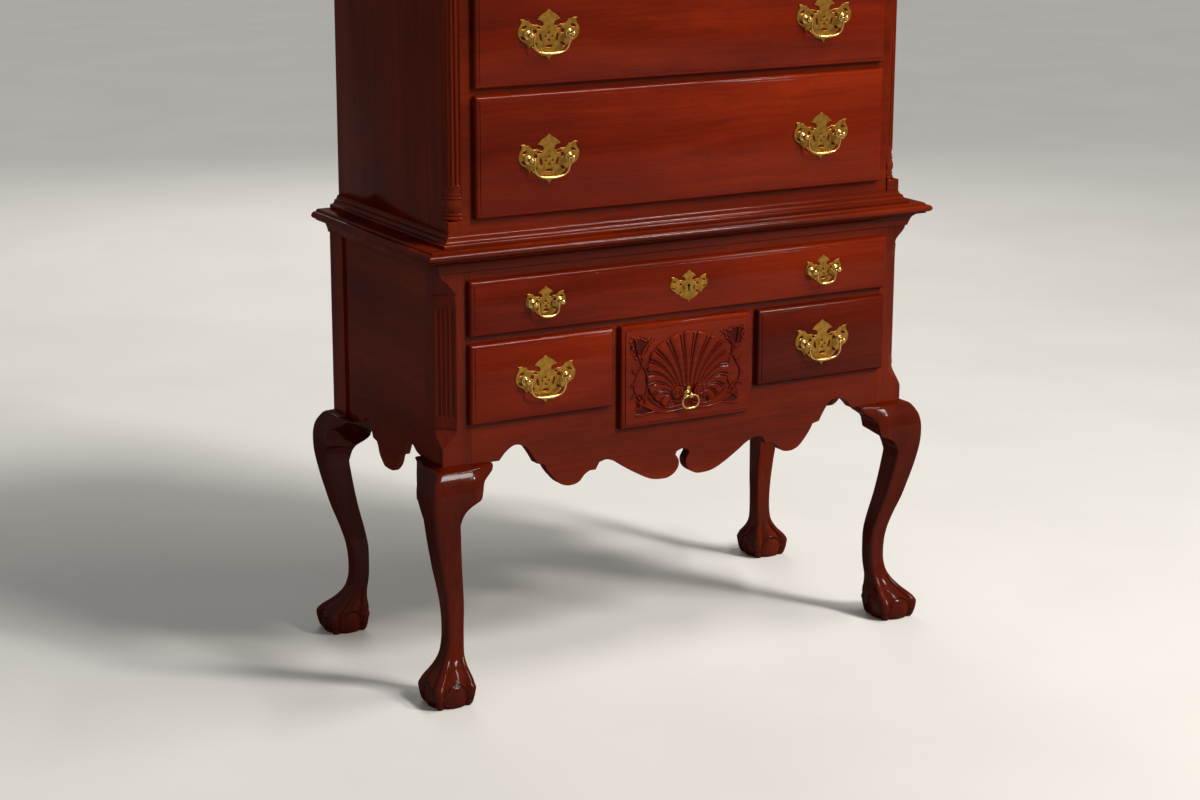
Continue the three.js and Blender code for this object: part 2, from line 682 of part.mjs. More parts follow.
function addPediment() {
  const stations = scrollStations();
  const eaves = upperTop - corniceSeat;
  const profile = [
    ...corniceShares.map(([out, up]) => [out * corniceReach, up * corniceHeight]),
    [-sideThickness, corniceHeight], [-sideThickness, corniceSeat], [0, corniceSeat],
  ];
  const rings = [
    profile.map(([out, up]) => [upperHalf + out, caseBack, eaves + up]),
    profile.map(([out, up]) => [upperHalf + out, upperFace - out, eaves + up]),
    ...stations.slice(1).map(({ x, z, upX, upZ }) => (
      profile.map(([out, up]) => [x + up * upX, upperFace - out, z + up * upZ])
    )),
  ];
  const moulding = solid(skin(rings, profile));
  const crest = stations.map(({ x, z, upX, upZ }) => [x + corniceSeat * upX, z + corniceSeat * upZ]);
  const end = stations[stations.length - 1];
  const eye = [end.x + end.upX * corniceHeight / 2, end.z + end.upZ * corniceHeight / 2];
  const floor = upperTop + notchFloor;
  const right = [
    ...crest.slice(1), [notchHalf, eye[1]], [notchHalf, floor + notchHalf / 2], [notchHalf / 2, floor],
  ];
  const outline = mirrored([[upperHalf, upperTop], ...right]);
  const scroll = board(outline, [], upperFace, columnY);
  const rosette = (side) => solid(turned([
    [0, 0], [rosetteRadius, 0], [rosetteRadius, corniceReach + columnRadius],
    [rosetteRadius / 2, corniceReach + columnRadius + rosetteProud], [0, corniceReach + columnRadius],
  ], turnedSides)).rotate([90, 0, 0]).translate([side * eye[0], columnY, eye[1]]);
  const plinth = block(
    -plinthBlockHalf, plinthBlockHalf, columnY - 2 * plinthBlockHalf, columnY,
    floor - plinthBlockHeight / 2, floor + plinthBlockHeight,
  );
  const pieces = [scroll, moulding, flip(moulding, [1, 0, 0]), rosette(1), rosette(-1), plinth];
  addMesh('pediment', join(pieces), wood.case);
  const finial = turned(finialShares.map(([r, z]) => [r * finialRadius, z * finialHeight]), turnedSides);
  const standing = addMesh('finial', finial, wood.case);
  standing.position.set(0, columnY - plinthBlockHalf, floor + plinthBlockHeight);
}

// Drawers

function addDrawerFront(name, gap, face) {
  const lipBack = face - seatGap;
  const lipFront = lipBack - lipThickness;
  const field = lipFront - fieldRise;
  const body = [gap.x0, gap.x1, gap.z0, gap.z1];
  const levels = [
    [lipBack + frontSeat, body, fitGap], [lipBack, body, fitGap], [lipBack, gap.lip, 0],
    ...fieldShares.map(([rise, inset]) => [lipFront - rise * fieldRise, gap.lip, inset * fieldMargin]),
  ];
  const rings = levels.map(([y, [x0, x1, z0, z1], inset]) => (
    rectangle(x0 + inset, x1 - inset, z0 + inset, z1 - inset).map(([x, z]) => [x, y, z])
  ));
  addMesh(`${name}_front`, skin(rings, rectangle(0, 1, 0, 1)), wood.front);
  return field;
}

function addDrawerBox(name, gap, face) {
  const outer = [
    gap.x0 + fitGap, gap.x1 - fitGap, face - seatGap + frontSeat, backInner - boxBackRoom,
    gap.z0 + seatGap, gap.z1 - boxHeadroom,
  ];
  const [x0, x1, y0, y1, z0, z1] = outer;
  const hollow = [x0 + boxWall, x1 - boxWall, y0 + boxWall, y1 - boxWall, z0 + boxFloor, z1 + cutOverrun];
  addMesh(`${name}_box`, block(...outer).subtract(block(...hollow)), wood.inner);
}

// Pulls

function plateOutline({ width, height }) {
  return mirrored(plateShares.map(([x, z]) => [x * width / 2, (z - platePostShare) * height]));
}

// A post with a ball head, standing out of a plate along -Y, with an eye bored through it along X.
function eyePost(x) {
  const ball = ballShares.map(([r, y]) => [r * ballRadius, pivotStand + y * ballRadius]);
  const profile = [
    [0, -plateThickness / 2], [rosetteSeatRadius, -plateThickness / 2],
    [rosetteSeatRadius, rosetteSeatHeight / 2], [stemRadius, rosetteSeatHeight],
    [stemRadius, pivotStand - ballRadius * ballNeckShare], ...ball, [0, pivotStand + ballRadius],
  ];
  return solid(turned(profile, ballSides)).rotate([90, 0, 0]).translate([x, -plateThickness, 0]);
}

function eyeHole(x0, x1) {
  const radius = bailRadius + pinGap;
  const geometry = new THREE.CylinderGeometry(radius, radius, x1 - x0, ballSides);
  geometry.rotateZ(Math.PI / 2);
  geometry.translate((x0 + x1) / 2, -plateThickness - pivotStand, 0);
  return solid(geometry);
}

function pullPlate(size) {
  const half = size.posts / 2;
  const plate = board(plateOutline(size), [], -plateThickness, 0);
  const reach = half - pinTip + pinGap;
  const hole = eyeHole(-reach, reach);
  return join([plate, eyePost(-half), eyePost(half)]).subtract(hole);
}

function bail(size) {
  const half = size.posts / 2;
  const inner = half - ballRadius - bailRadius - pinGap;
  const hanging = bailShares.map(([x, z]) => [x * inner, -z * size.drop]);
  const right = [[half - pinTip, 0], [half - ballRadius, 0], ...hanging];
  const points = [...right, ...right.map(([x, z]) => [-x, z]).reverse()];
  const radii = points.map(([x]) => bailRadius + bailSwell * Math.max(0, 1 - Math.abs(x) / inner * 2));
  return tube(points, radii, bailSides);
}

function ringBail() {
  const right = ringShares.map(([x, z]) => [x * ringHalfWidth, -z * ringDrop]);
  const left = right.slice(1, -1).reverse().map(([x, z]) => [-x, z]);
  const points = [[-ringEye, 0], [ringEye, 0], ...right.slice(2), ...left.slice(0, -1)];
  return tube(points, points.map(() => bailRadius), bailSides, true);
}

function addPull(drawer, side, size, x, field, z) {
  const tail = side ? `_${side}` : '';
  addMesh(`${drawer}_plate${tail}`, pullPlate(size), brass).position.set(x, field, z);
  const hung = addMesh(`${drawer}_bail${tail}`, bail(size), brass);
  hung.position.set(x, field - plateThickness - pivotStand, z);
}

function addRingPull(drawer, field, z) {
  const foot = field + plateThickness / 2;
  const pierced = eyePost(0).subtract(eyeHole(-ringEye, ringEye));
  addMesh(`${drawer}_pull_post`, pierced, brass).position.set(0, foot, z);
  const ring = addMesh(`${drawer}_pull_ring`, ringBail(), brass);
  ring.position.set(0, foot - plateThickness - pivotStand, z);
}

function addEscutcheon(name, size, field, z) {
  const round = Array.from({ length: ballSides }, (_, k) => {
    const turn = (k / ballSides) * 2 * Math.PI;
    return [keyholeRadius * Math.cos(turn), keyholeRadius * Math.sin(turn)];
  });
  const slot = rectangle(-keyholeRadius / 2, keyholeRadius / 2, -keyholeLength, 0);
  const cut = (outline) => board(outline, [], -plateThickness - cutOverrun, cutOverrun);
  const plate = board(plateOutline(size), [], -plateThickness, 0);
  const pierced = plate.subtract(join([cut(round), cut(slot)]));
  addMesh(name, pierced, brass).position.set(0, field, z);
}

function addLowerDrawers() {
  const gaps = lowerOpenings();
  const middle = ({ z0, z1 }) => (z0 + z1) / 2;
  const fields = Object.entries(gaps).map(([place, gap]) => {
    const field = addDrawerFront(`lower_${place}_drawer`, gap, lowerFace);
    addDrawerBox(`lower_${place}_drawer`, gap, lowerFace);
    return field;
  });
  const field = fields[0];
  const across = ({ x0, x1 }) => (x0 + x1) / 2;
  const low = (gap) => middle(gap) - sidePullDrop;
  addPull('lower_long_drawer', 'left', smallPlate, -longPullShare * lowerHalf, field, middle(gaps.long));
  addPull('lower_long_drawer', 'right', smallPlate, longPullShare * lowerHalf, field, middle(gaps.long));
  addEscutcheon('lower_long_drawer_escutcheon', smallPlate, field, middle(gaps.long));
  addPull('lower_left_drawer', '', largePlate, across(gaps.left), field, low(gaps.left));
  addPull('lower_right_drawer', '', largePlate, across(gaps.right), field, low(gaps.right));
  addRingPull('lower_shell_drawer', field, middle(gaps.shell) - shellPullDrop);
}

function addUpperDrawers() {
  upperOpenings().forEach((gap, i) => {
    const name = `upper_drawer_${i + 1}`;
    const field = addDrawerFront(name, gap, upperFace);
    addDrawerBox(name, gap, upperFace);
    const height = (gap.z0 + gap.z1) / 2 - upperPullDrop;
    addPull(name, 'left', largePlate, -upperPullShare * upperHalf, field, height);
    addPull(name, 'right', largePlate, upperPullShare * upperHalf, field, height);
  });
}

addLegs();
addLowerFrame();
addLowerSides();
addLowerBack();
addWaist();
addUpperFrame();
addUpperSides();
addColumns();
addPediment();
addLowerDrawers();
addUpperDrawers();

export default highboy;
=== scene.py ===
"""A tall mahogany chest of drawers on cabriole legs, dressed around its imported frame."""

import math

import bmesh
import bpy
import numpy as np
from mathutils import Matrix, Vector


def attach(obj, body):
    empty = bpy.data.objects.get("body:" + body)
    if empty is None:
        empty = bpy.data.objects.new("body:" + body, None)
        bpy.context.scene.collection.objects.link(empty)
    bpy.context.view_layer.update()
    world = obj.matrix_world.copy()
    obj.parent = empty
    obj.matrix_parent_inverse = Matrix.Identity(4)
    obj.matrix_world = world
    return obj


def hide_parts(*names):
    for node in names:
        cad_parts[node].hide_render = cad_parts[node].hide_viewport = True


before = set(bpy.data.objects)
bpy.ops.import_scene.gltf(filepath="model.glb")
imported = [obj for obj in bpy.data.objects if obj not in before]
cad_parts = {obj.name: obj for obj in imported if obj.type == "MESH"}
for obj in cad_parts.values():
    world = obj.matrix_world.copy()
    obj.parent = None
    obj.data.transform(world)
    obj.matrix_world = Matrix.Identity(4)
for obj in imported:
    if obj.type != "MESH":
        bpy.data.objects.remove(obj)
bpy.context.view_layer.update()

MM = 0.001

# The frame's sizes, in millimetres
LOWER_HALF, UPPER_HALF = 463, 444
LOWER_FACE, UPPER_FACE, CASE_BACK, BACK_INNER = -219, -215, 219, 207
POST, KNEE, LOWER_TOP, WAIST_TOP, UPPER_TOP = 53, 410, 771, 778, 1590
APRON_HALF, SIDE_BOARD, SIDE_RECESS, UPPER_INSIDE = 410, 12, 4, 424
COLUMN_X, COLUMN_Y = 421, -192
EAVES, CORNICE_HEIGHT, CORNICE_SEAT = 1556, 48, 34
LIP_OVERLAP, LIP_THICK, FIELD_RISE, FIELD_MARGIN, FRONT_SEAT = 5, 8.7, 4, 8, 12
FIT, SEAT, WALL, FLOOR, RUNNER, HEADROOM, BACK_ROOM = 1.5, 0.3, 12, 8, 18, 8, 10
PLATE_THICK, PIVOT = 1.6, 11
LARGE_PLATE, SMALL_PLATE = (112, 82), (74, 55)
LONG_HEIGHT, SMALL_HEIGHT, SHELL_HEIGHT = 93, 135, 179
LONG_TOP = LOWER_TOP - 50.6
SMALL_TOP = LONG_TOP - LONG_HEIGHT - 13.2
UPPER_HEIGHTS, RAIL = (199, 180, 162, 145), 11.4
SHELL = "lower_shell_drawer"


def link(name, data):
    made = bpy.data.objects.new(name, data)
    bpy.context.scene.collection.objects.link(made)
    return made


# Shape helpers: a shape is an array of points in millimetres and a list of faces


def merge(*shapes):
    points, faces, start = [], [], 0
    for own, own_faces in shapes:
        points.append(own)
        faces += [tuple(i + start for i in face) for face in own_faces]
        start += len(own)
    return np.vstack(points), faces


def loft(rings, looped=False):
    """A skin over rings of equal counts, with flat caps unless it closes on itself."""
    rings = np.asarray(rings, float)
    n, m = rings.shape[:2]
    faces = []
    for r in range(n if looped else n - 1):
        a, b = r * m, (r + 1) % n * m
        faces += [(a + i, a + (i + 1) % m, b + (i + 1) % m, b + i) for i in range(m)]
    if not looped:
        faces += [tuple(range(m))[::-1], tuple(range((n - 1) * m, n * m))]
    return rings.reshape(-1, 3), faces


def full_turn(sides):
    return np.arange(sides) / sides * 2 * math.pi


def ring(radius, turn, z):
    """Points round Z at a height."""
    return np.stack(np.broadcast_arrays(radius * np.cos(turn), radius * np.sin(turn), z), 1)


def dome(x):
    """A half circle's height over -1 to 1, and 0 outside."""
    return np.sqrt(np.maximum(1 - x ** 2, 0))


def bell(x):
    return np.exp(-x ** 2)


def ease(t):
    t = np.clip(t, 0, 1)
    return t * t * (3 - 2 * t)


def lathe(profile, sides=40, lobes=None):
    """A turned shape about Z from (radius, height) points; lobes may change the radius with the turn."""
    turn = full_turn(sides)
    return loft([ring(lobes(r, z, turn) if lobes else max(r, 0.02), turn, z) for r, z in profile])


def bar(x0, x1, y0, y1, z0, z1, edge=0.8):
    """A board with softened edges."""
    bm = bmesh.new()
    bmesh.ops.create_cube(bm, size=1)
    size = Vector((x1 - x0, y1 - y0, z1 - z0))
    middle = Vector((x0 + x1, y0 + y1, z0 + z1)) / 2
    for v in bm.verts:
        v.co = Vector(a * b for a, b in zip(v.co, size)) + middle
    bmesh.ops.bevel(bm, geom=bm.edges[:], offset=edge, segments=2, profile=0.5, affect="EDGES")
    shape = np.array([v.co for v in bm.verts]), [tuple(v.index for v in f.verts) for f in bm.faces]
    bm.free()
    return shape


def slab(outlines, back, front, edge=0.6, segments=2):
    """A board cut to outlines across X and up Z, holes included, between two depths along Y."""
    curve = bpy.data.curves.new("slab", "CURVE")
    curve.dimensions, curve.fill_mode = "2D", "BOTH"
    curve.extrude, curve.bevel_depth = abs(front - back) / 2 - edge, edge
    curve.offset, curve.bevel_resolution = -edge, segments
    for outline in outlines:
        spline = curve.splines.new("POLY")
        spline.points.add(len(outline) - 1)
        spline.use_cyclic_u = True
        flat = np.zeros((len(outline), 4))
        flat[:, :2] = outline
        spline.points.foreach_set("co", flat.ravel())
    holder = link("slab", curve)
    mesh = bpy.data.meshes.new_from_object(holder.evaluated_get(bpy.context.evaluated_depsgraph_get()))
    points = np.array([v.co for v in mesh.vertices], float)
    faces = [tuple(p.vertices) for p in mesh.polygons]
    bpy.data.objects.remove(holder)
    bpy.data.curves.remove(curve)
    bpy.data.meshes.remove(mesh)
    return np.stack([points[:, 0], (back + front) / 2 - points[:, 2], points[:, 1]], 1), faces


def moved(shape, x=0, y=0, z=0, matrix=None):
    points, faces = shape
    if matrix is not None:
        points = points @ np.array(matrix.to_3x3()).T
    return points + np.array([x, y, z], float), faces


def flipped(shape, axes):
    """The mirror image across the planes of the given axes."""
    points, faces = shape
    sign = np.array([-1 if axis in axes else 1 for axis in "xyz"], float)
    if sign.prod() < 0:
        faces = [face[::-1] for face in faces]
    return points * sign, faces


QUARTER_TURN_X, QUARTER_TURN_Z = (Matrix.Rotation(math.radians(90), 3, axis) for axis in "XZ")


def facing_front(shape):
    """Turns a shape that stands on +Z so that it stands out towards the front."""
    return moved(shape, matrix=QUARTER_TURN_X)


def rectangle(x0, x1, z0, z1):
    return [(x0, z0), (x1, z0), (x1, z1), (x0, z1)]


def smooth(points, sharp=(), steps=5, closed=False):
    """A curve through the points that breaks direction only at the sharp ones."""
    points = np.asarray(points, float)
    n = len(points)
    step = [np.linalg.norm(points[(i + 1) % n] - points[i]) + 1e-9 for i in range(n)]
    slope = [(points[(i + 1) % n] - points[i]) / step[i] for i in range(n)]

    def tangent(i, leaving):
        open_end = not closed and i in (0, n - 1)
        if i in sharp or open_end:
            return slope[i] if leaving else slope[i - 1]
        return (slope[i - 1] * step[i] + slope[i] * step[i - 1]) / (step[i] + step[i - 1])

    out = []
    for i in range(n if closed else n - 1):
        j = (i + 1) % n
        a, b, h = points[i], points[j], step[i]
        ma, mb = tangent(i, True) * h, tangent(j, False) * h
        for t in np.arange(steps) / steps:
            out.append((2 * t ** 3 - 3 * t * t + 1) * a + (t ** 3 - 2 * t * t + t) * ma
                       + (3 * t * t - 2 * t ** 3) * b + (t ** 3 - t * t) * mb)
    if not closed:
        out.append(points[-1])
    return np.array(out)


def quarter(a, b, along_x, steps=6):
    """A quarter ellipse from a to b that sets off along X, or else along Z. The end point is included."""
    turn = np.arange(1, steps + 1) / steps * math.pi / 2
    share = (np.sin(turn), 1 - np.cos(turn)) if along_x else (1 - np.cos(turn), np.sin(turn))
    return [(a[0] + (b[0] - a[0]) * s, a[1] + (b[1] - a[1]) * t) for s, t in zip(*share)]


def tube(path, radii, sides=14, looped=False):
    """A round bar along points in space, with a radius at each point."""
    path = np.asarray(path, float)
    ahead = np.roll(path, -1, 0) - np.roll(path, 1, 0)
    if not looped:
        ahead[0], ahead[-1] = path[1] - path[0], path[-1] - path[-2]
    ahead /= np.linalg.norm(ahead, axis=1)[:, None]
    turn = full_turn(sides)
    rings = []
    for at, d, r in zip(path, ahead, radii):
        side = np.cross(d, (0, 1, 0))
        side /= np.linalg.norm(side)
        other = np.cross(side, d)
        rings.append(at + r * (np.outer(np.cos(turn), side) + np.outer(np.sin(turn), other)))
    return loft(rings, looped)


# Materials


def feed(tree, target, inputs):
    """Links the sockets and sets the plain values on a node's inputs."""
    for key, value in inputs.items():
        if isinstance(value, bpy.types.NodeSocket):
            tree.links.new(value, target.inputs[key])
        else:
            target.inputs[key].default_value = value


def node(tree, kind, inputs=None, **settings):
    made = tree.nodes.new(kind)
    for key, value in settings.items():
        setattr(made, key, value)
    feed(tree, made, inputs or {})
    return made


def cloud(tree, where, scale, detail, rough=0.5):
    """The outputs of a noise texture."""
    return node(tree, "ShaderNodeTexNoise", {
        "Vector": where, "Scale": scale, "Detail": detail, "Roughness": rough}).outputs


def ramp(tree, source, stops):
    made = node(tree, "ShaderNodeValToRGB", {"Fac": source})
    while len(made.color_ramp.elements) < len(stops):
        made.color_ramp.elements.new(0.5)
    for element, (at, colour) in zip(made.color_ramp.elements, stops):
        element.position = at
        element.color = (*colour, 1) if len(colour) == 3 else (colour[0],) * 3 + (1,)
    return made.outputs["Color"]


def mix(tree, kind, factor, a, b):
    made = node(tree, "ShaderNodeMix", {0: factor, 6: a, 7: b}, data_type="RGBA", blend_type=kind)
    return made.outputs[2]


def srgb(*colour):
    shares = (v / 255 for v in colour)
    return tuple(c / 12.92 if c <= 0.04045 else ((c + 0.055) / 1.055) ** 2.4 for c in shares)


def start_material(name):
    material = bpy.data.materials.new(name)
    material.use_nodes = True
    tree = material.node_tree
    shader = tree.nodes["Principled BSDF"]
    where = node(tree, "ShaderNodeTexCoord").outputs["Object"]
    return material, tree, shader, where


def wood(name, axis, dark, middle, light, roughness=0.11, coat=0.06, pores=0.35, shade=None):
    """Straight-grained wood under a finish. The grain runs along one axis of the frame."""
    material, tree, shader, where = start_material(name)
    warp = cloud(tree, where, 5.0, 2.0)["Color"]
    steps = ("SUBTRACT", {1: (0.5, 0.5, 0.5)}), ("SCALE", {"Scale": 0.03}), ("ADD", {1: where})
    for operation, other in steps:
        warp = node(tree, "ShaderNodeVectorMath", {0: warp, **other}, operation=operation).outputs[0]

    def noise(along, across, detail, rough=0.5):
        scale = tuple(along if a == axis else across for a in "xyz")
        stretched = node(tree, "ShaderNodeMapping", {"Vector": warp, "Scale": scale})
        return cloud(tree, stretched.outputs[0], 1.0, detail, rough)["Fac"]

    colour = ramp(tree, noise(1.6, 14, 3, 0.55), [(0.28, dark), (0.5, middle), (0.74, light)])
    streak = ramp(tree, noise(3, 190, 4, 0.6), [(0.34, (0.74,)), (0.56, (1,)), (0.8, (1.08,))])
    flame = ramp(tree, noise(5, 9, 2), [(0.35, (0.86,)), (0.65, (1.04,))])
    pore = ramp(tree, noise(45, 1300, 2), [(0.34, (0.45,)), (0.46, (1,))])
    layers = [(0.8, streak), (0.6, flame), (pores, pore)]
    # A shade attribute multiplies the colour: painted shade in creases, hollows and grooves, and the legs'
    # darker tone
    if shade:
        layers.append((1.0, node(tree, "ShaderNodeAttribute", attribute_name=shade).outputs["Color"]))
    for weight, layer in layers:
        colour = mix(tree, "MULTIPLY", weight, colour, layer)
    dull = node(tree, "ShaderNodeMapRange", {"Value": noise(6, 30, 3), 3: 0.5, 4: 0.7})
    bump = node(tree, "ShaderNodeBump", {"Height": pore, "Strength": 0.06, "Distance": 0.0003})
    feed(tree, shader, {"Base Color": colour, "Roughness": dull.outputs[0], "Specular IOR Level": 0,
                        "Coat Weight": coat, "Coat Roughness": roughness, "Coat IOR": 2.2,
                        "Coat Normal": bump.outputs[0]})
    return material


def metal(name, bright, dull, roughness, patina=0.5):
    material, tree, shader, where = start_material(name)
    spots = cloud(tree, where, 120.0, 4.0)["Fac"]
    tone = ramp(tree, spots, [(0.38, dull), (0.62, bright)])
    fine = cloud(tree, where, 600.0, 3.0)["Fac"]
    rough = node(tree, "ShaderNodeMapRange", {"Value": fine, 3: roughness - 0.06, 4: roughness + 0.1})
    bump = node(tree, "ShaderNodeBump", {"Height": spots, "Strength": 0.12, "Distance": 0.0003})
    feed(tree, shader, {"Base Color": mix(tree, "MIX", patina, bright + (1,), tone), "Metallic": 1,
                        "Roughness": rough.outputs[0], "Normal": bump.outputs[0]})
    return material


CASE = [srgb(84, 19, 1), srgb(105, 26, 2), srgb(126, 36, 4)]
FRONT = [srgb(90, 18, 1), srgb(113, 26, 2), srgb(134, 36, 4)]
CASE_X, CASE_Y, CASE_Z = (wood(f"case_mahogany_{a}", a, *CASE) for a in "xyz")
CARVED = wood("carved_mahogany", "x", *CASE, shade="tone_and_painted_shade")
LEG = wood("leg_mahogany", "z", *CASE, shade="tone_and_painted_shade")
DRAWER = wood("drawer_mahogany", "x", *FRONT)
# A darker copy of the drawer wood, used on the lower right drawer only
DRAWER_DEEP = wood("drawer_mahogany_deep", "x", srgb(70, 13, 1), srgb(88, 19, 2), srgb(106, 27, 3))
DRAWER_CARVED = wood("drawer_mahogany_carved", "x", *FRONT, shade="tone_and_painted_shade")
PALE = [srgb(150, 112, 70), srgb(184, 146, 98), srgb(204, 170, 122)]
LINING_X, LINING_Y = (wood(f"drawer_lining_{a}", a, *PALE, 0.6, 0.01, 0.2) for a in "xy")
INNER = wood("case_inside", "y", srgb(96, 62, 34), srgb(130, 88, 52), srgb(150, 106, 66), 0.6, 0, 0.3)
BACKING = wood("back_boards", "z", srgb(62, 36, 20), srgb(94, 58, 34), srgb(112, 72, 44), 0.65, 0, 0.4)
PLATE = metal("brass_plate", srgb(158, 116, 48), srgb(88, 60, 22), 0.3)
BRIGHT = metal("brass_handle", srgb(196, 160, 96), srgb(132, 96, 46), 0.2, 0.5)
# A dark metal for the painted shade behind the keyhole
KEYHOLE_SHADE = metal("keyhole_painted_shade", srgb(30, 20, 12), srgb(18, 12, 8), 0.6)


def build_mesh(name, shape, material, angle=35, shade=None):
    """A mesh in metres, its faces outward and sharp where they turn by more than the angle."""
    points, faces = shape
    mesh = bpy.data.meshes.new(name)
    mesh.from_pydata(points * MM, [], faces)
    made = bmesh.new()
    made.from_mesh(mesh)
    bmesh.ops.recalc_face_normals(made, faces=made.faces)
    made.to_mesh(mesh)
    made.free()
    mesh.materials.append(material)
    # The shade values become a colour attribute: painted shade, with the legs' darker tone
    if shade is not None:
        tone_and_painted_shade = mesh.attributes.new("tone_and_painted_shade", "FLOAT_COLOR", "POINT")
        value = np.repeat(np.asarray(shade, np.float32)[:, None], 4, 1)
        value[:, 3] = 1
        tone_and_painted_shade.data.foreach_set("color", value.ravel())
    mesh.shade_smooth()
    mesh.set_sharp_from_angle(angle=math.radians(angle))
    mesh.update()
    return mesh


def place(name, mesh, body, stands_for=None, at=(0, 0, 0)):
    """One object that rides on a body."""
    made = link(name, mesh)
    made.location = Vector(at) * MM
    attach(made, body)
    if stands_for:
        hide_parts(stands_for)


def piece(name, shape, body, slot, material, stands_for=None, angle=32, at=(0, 0, 0), shade=None):
    place(name, build_mesh(name, shape, material, angle, shade), body, stands_for, at)


def case_piece(name, shape, material, stands_for=None, **more):
    piece(name, shape, "case", "case_mahogany", material, stands_for, **more)


def case_pair(name, shape, material, stands_for="", **more):
    """A piece on the right and its mirror image on the left; {} in a name stands for the side."""
    for side, flip in ("right", ""), ("left", "x"):
        case_piece(name.format(side), flipped(shape, flip), material, stands_for.format(side), **more)


# Legs, worked out at the right front corner: u runs outward from the case, v runs forward

# Rows of height as a share of the knee's, then the outer and the inner edge as shares of half a post
LEG_SECTIONS = np.array([
    (1.012, -.1, -1.33), (1.003, .1, -1.3), (.996, .33, -1.28), (.976, .515, -1.245), (.951, .66, -1.15),
    (.907, .77, -.96), (.866, .785, -.72), (.824, .765, -.54), (.785, .71, -.505), (.717, .575, -.575),
    (.639, .385, -.685), (.559, .17, -.82), (.478, -.1, -.99), (.398, -.31, -1.12), (.32, -.39, -1.14),
    (.241, -.35, -1.11), (.202, -.24, -1.06), (.166, -.04, -1.01), (.129, .26, -.99), (.11, .5, -1.03),
    (.09, .74, -1.08), (.073, .8, -1.09), (0, .8, -1.09)])[::-1]
# Rows of height and value: how square the leg's section is, how far a toe and the web between the toes reach
# from the leg's middle, and half a toe's width
LEG_SQUARENESS = [(66, 4), (110, 6), (180, 8), (260, 9), (340, 10), (415, 10)]
TOE_REACH = [(0, 41), (4, 44.6), (9, 46.6), (16, 48.6), (22, 49.8), (27, 50.6), (31, 51.2), (35, 49.8),
             (38.5, 47.6), (42, 46), (46, 43), (50, 39.8), (54, 36.4), (60, 31.8), (68, 27), (76, 23.6),
             (83, 21.6), (99, 20.2)]
TOE_HALF = [(0, 5.5), (10, 7), (20, 8), (30, 9), (38, 8.6), (48, 7.6), (60, 6.6), (75, 6), (99, 5.6)]
WEB_REACH = [(38, 37), (44, 34.5), (50, 31), (56, 26.8), (62, 23.2), (70, 19.8), (80, 17.4), (90, 16.2),
             (99, 15.6)]
SIDES = 176
BALL_RADIUS, BALL_MIDDLE, BALL_TOP = 38.5, 20, 49
ANKLE, ANKLE_BLEND, KNEE_ROLL = 66, 28, 24
# The legs and knee blocks are darker than the posts above them
LEG_TONE = 0.63


def table(rows):
    """A smooth function through (place, value) rows."""
    fine = smooth(rows, steps=8)
    return lambda at: np.interp(at, fine[:, 0], fine[:, 1])


def soft_max(a, b, blend):
    return (a + b + np.sqrt((a - b) ** 2 + blend ** 2)) / 2


LEG_OUTER, LEG_INNER = (table(np.stack([LEG_SECTIONS[:, 0] * KNEE, LEG_SECTIONS[:, i] * POST / 2], 1))
                        for i in (1, 2))


def leg_body():
    """A cabriole leg: square in section, ending in a claw whose four toes hold a ball."""
    squareness, toe_reach, toe_half = table(LEG_SQUARENESS), table(TOE_REACH), table(TOE_HALF)
    web_reach = table(WEB_REACH)
    turn = full_turn(SIDES) + math.pi / 4
    c, s = np.cos(turn), np.sin(turn)
    from_toe = np.abs(turn % (math.pi / 2) - math.pi / 4)
    from_gap = math.pi / 4 - from_toe
    arch = 14 + 27 * dome(from_gap / math.radians(33))
    rings, shades = [], []
    levels = np.concatenate([np.arange(0, 90, 1.2), np.arange(90, 380, 4), np.arange(380, 414, 2), [414.9]])
    for z in levels:
        n = squareness(max(z, ANKLE))
        corner = 2 ** (0.5 - 1 / n)
        outer, inner = LEG_OUTER(z), LEG_INNER(z)
        radius = (outer - inner) * (np.abs(c) ** n + np.abs(s) ** n) ** (-1 / n) / corner
        shade = np.ones(SIDES)
        if z < ANKLE + ANKLE_BLEND + 2:
            half = toe_half(z)
            at = toe_reach(z) - half
            across = at * np.sin(from_toe)
            toe = np.where(np.abs(across) < half, at * np.cos(from_toe) + half * dome(across / half), 0)
            high = abs((z - BALL_MIDDLE) / (BALL_TOP - BALL_MIDDLE))
            ball = BALL_RADIUS * (1 - min(high, 0.999) ** 3) ** (1 / 3) if z < BALL_TOP else 0
            over = ease((z - arch) / 2 + 0.5)
            lip = 1.4 * bell((z - arch - 2) / 1.3) + 0.9 * bell((z - arch - 6.2) / 1.3)
            flesh = np.where(over > 0, np.maximum(web_reach(z), min(ball, 40) + 1.4) + lip, 0)
            core = ball + (flesh - ball) * over if z < BALL_TOP + 2 else web_reach(z) + lip
            foot = soft_max(core, toe, 1.0)
            radius = foot + (radius - foot) * ease((z - ANKLE) / ANKLE_BLEND)
            # Painted shade: darker in the creases beside the toes and along the arch over the ball, fading
            # out towards the ankle
            crease = bell((toe - core) / 2.2) * (toe > 0)
            edge = bell((z - arch) / 1.4) * (z < BALL_TOP)
            shade = 1 - 0.75 * np.maximum(crease, edge) * (1 - ease((z - 52) / 16))
        middle = (outer + inner) / math.sqrt(2)
        rings.append(ring(radius, turn, z) + (middle, middle, 0))
        shades.append(shade)
    return loft(rings), np.concatenate(shades)


CHAMFER, TONGUE, FLUTE_START, FLUTE_HALF, FLUTE_DEPTH = 28, 38, 58, 3.1, 2.1


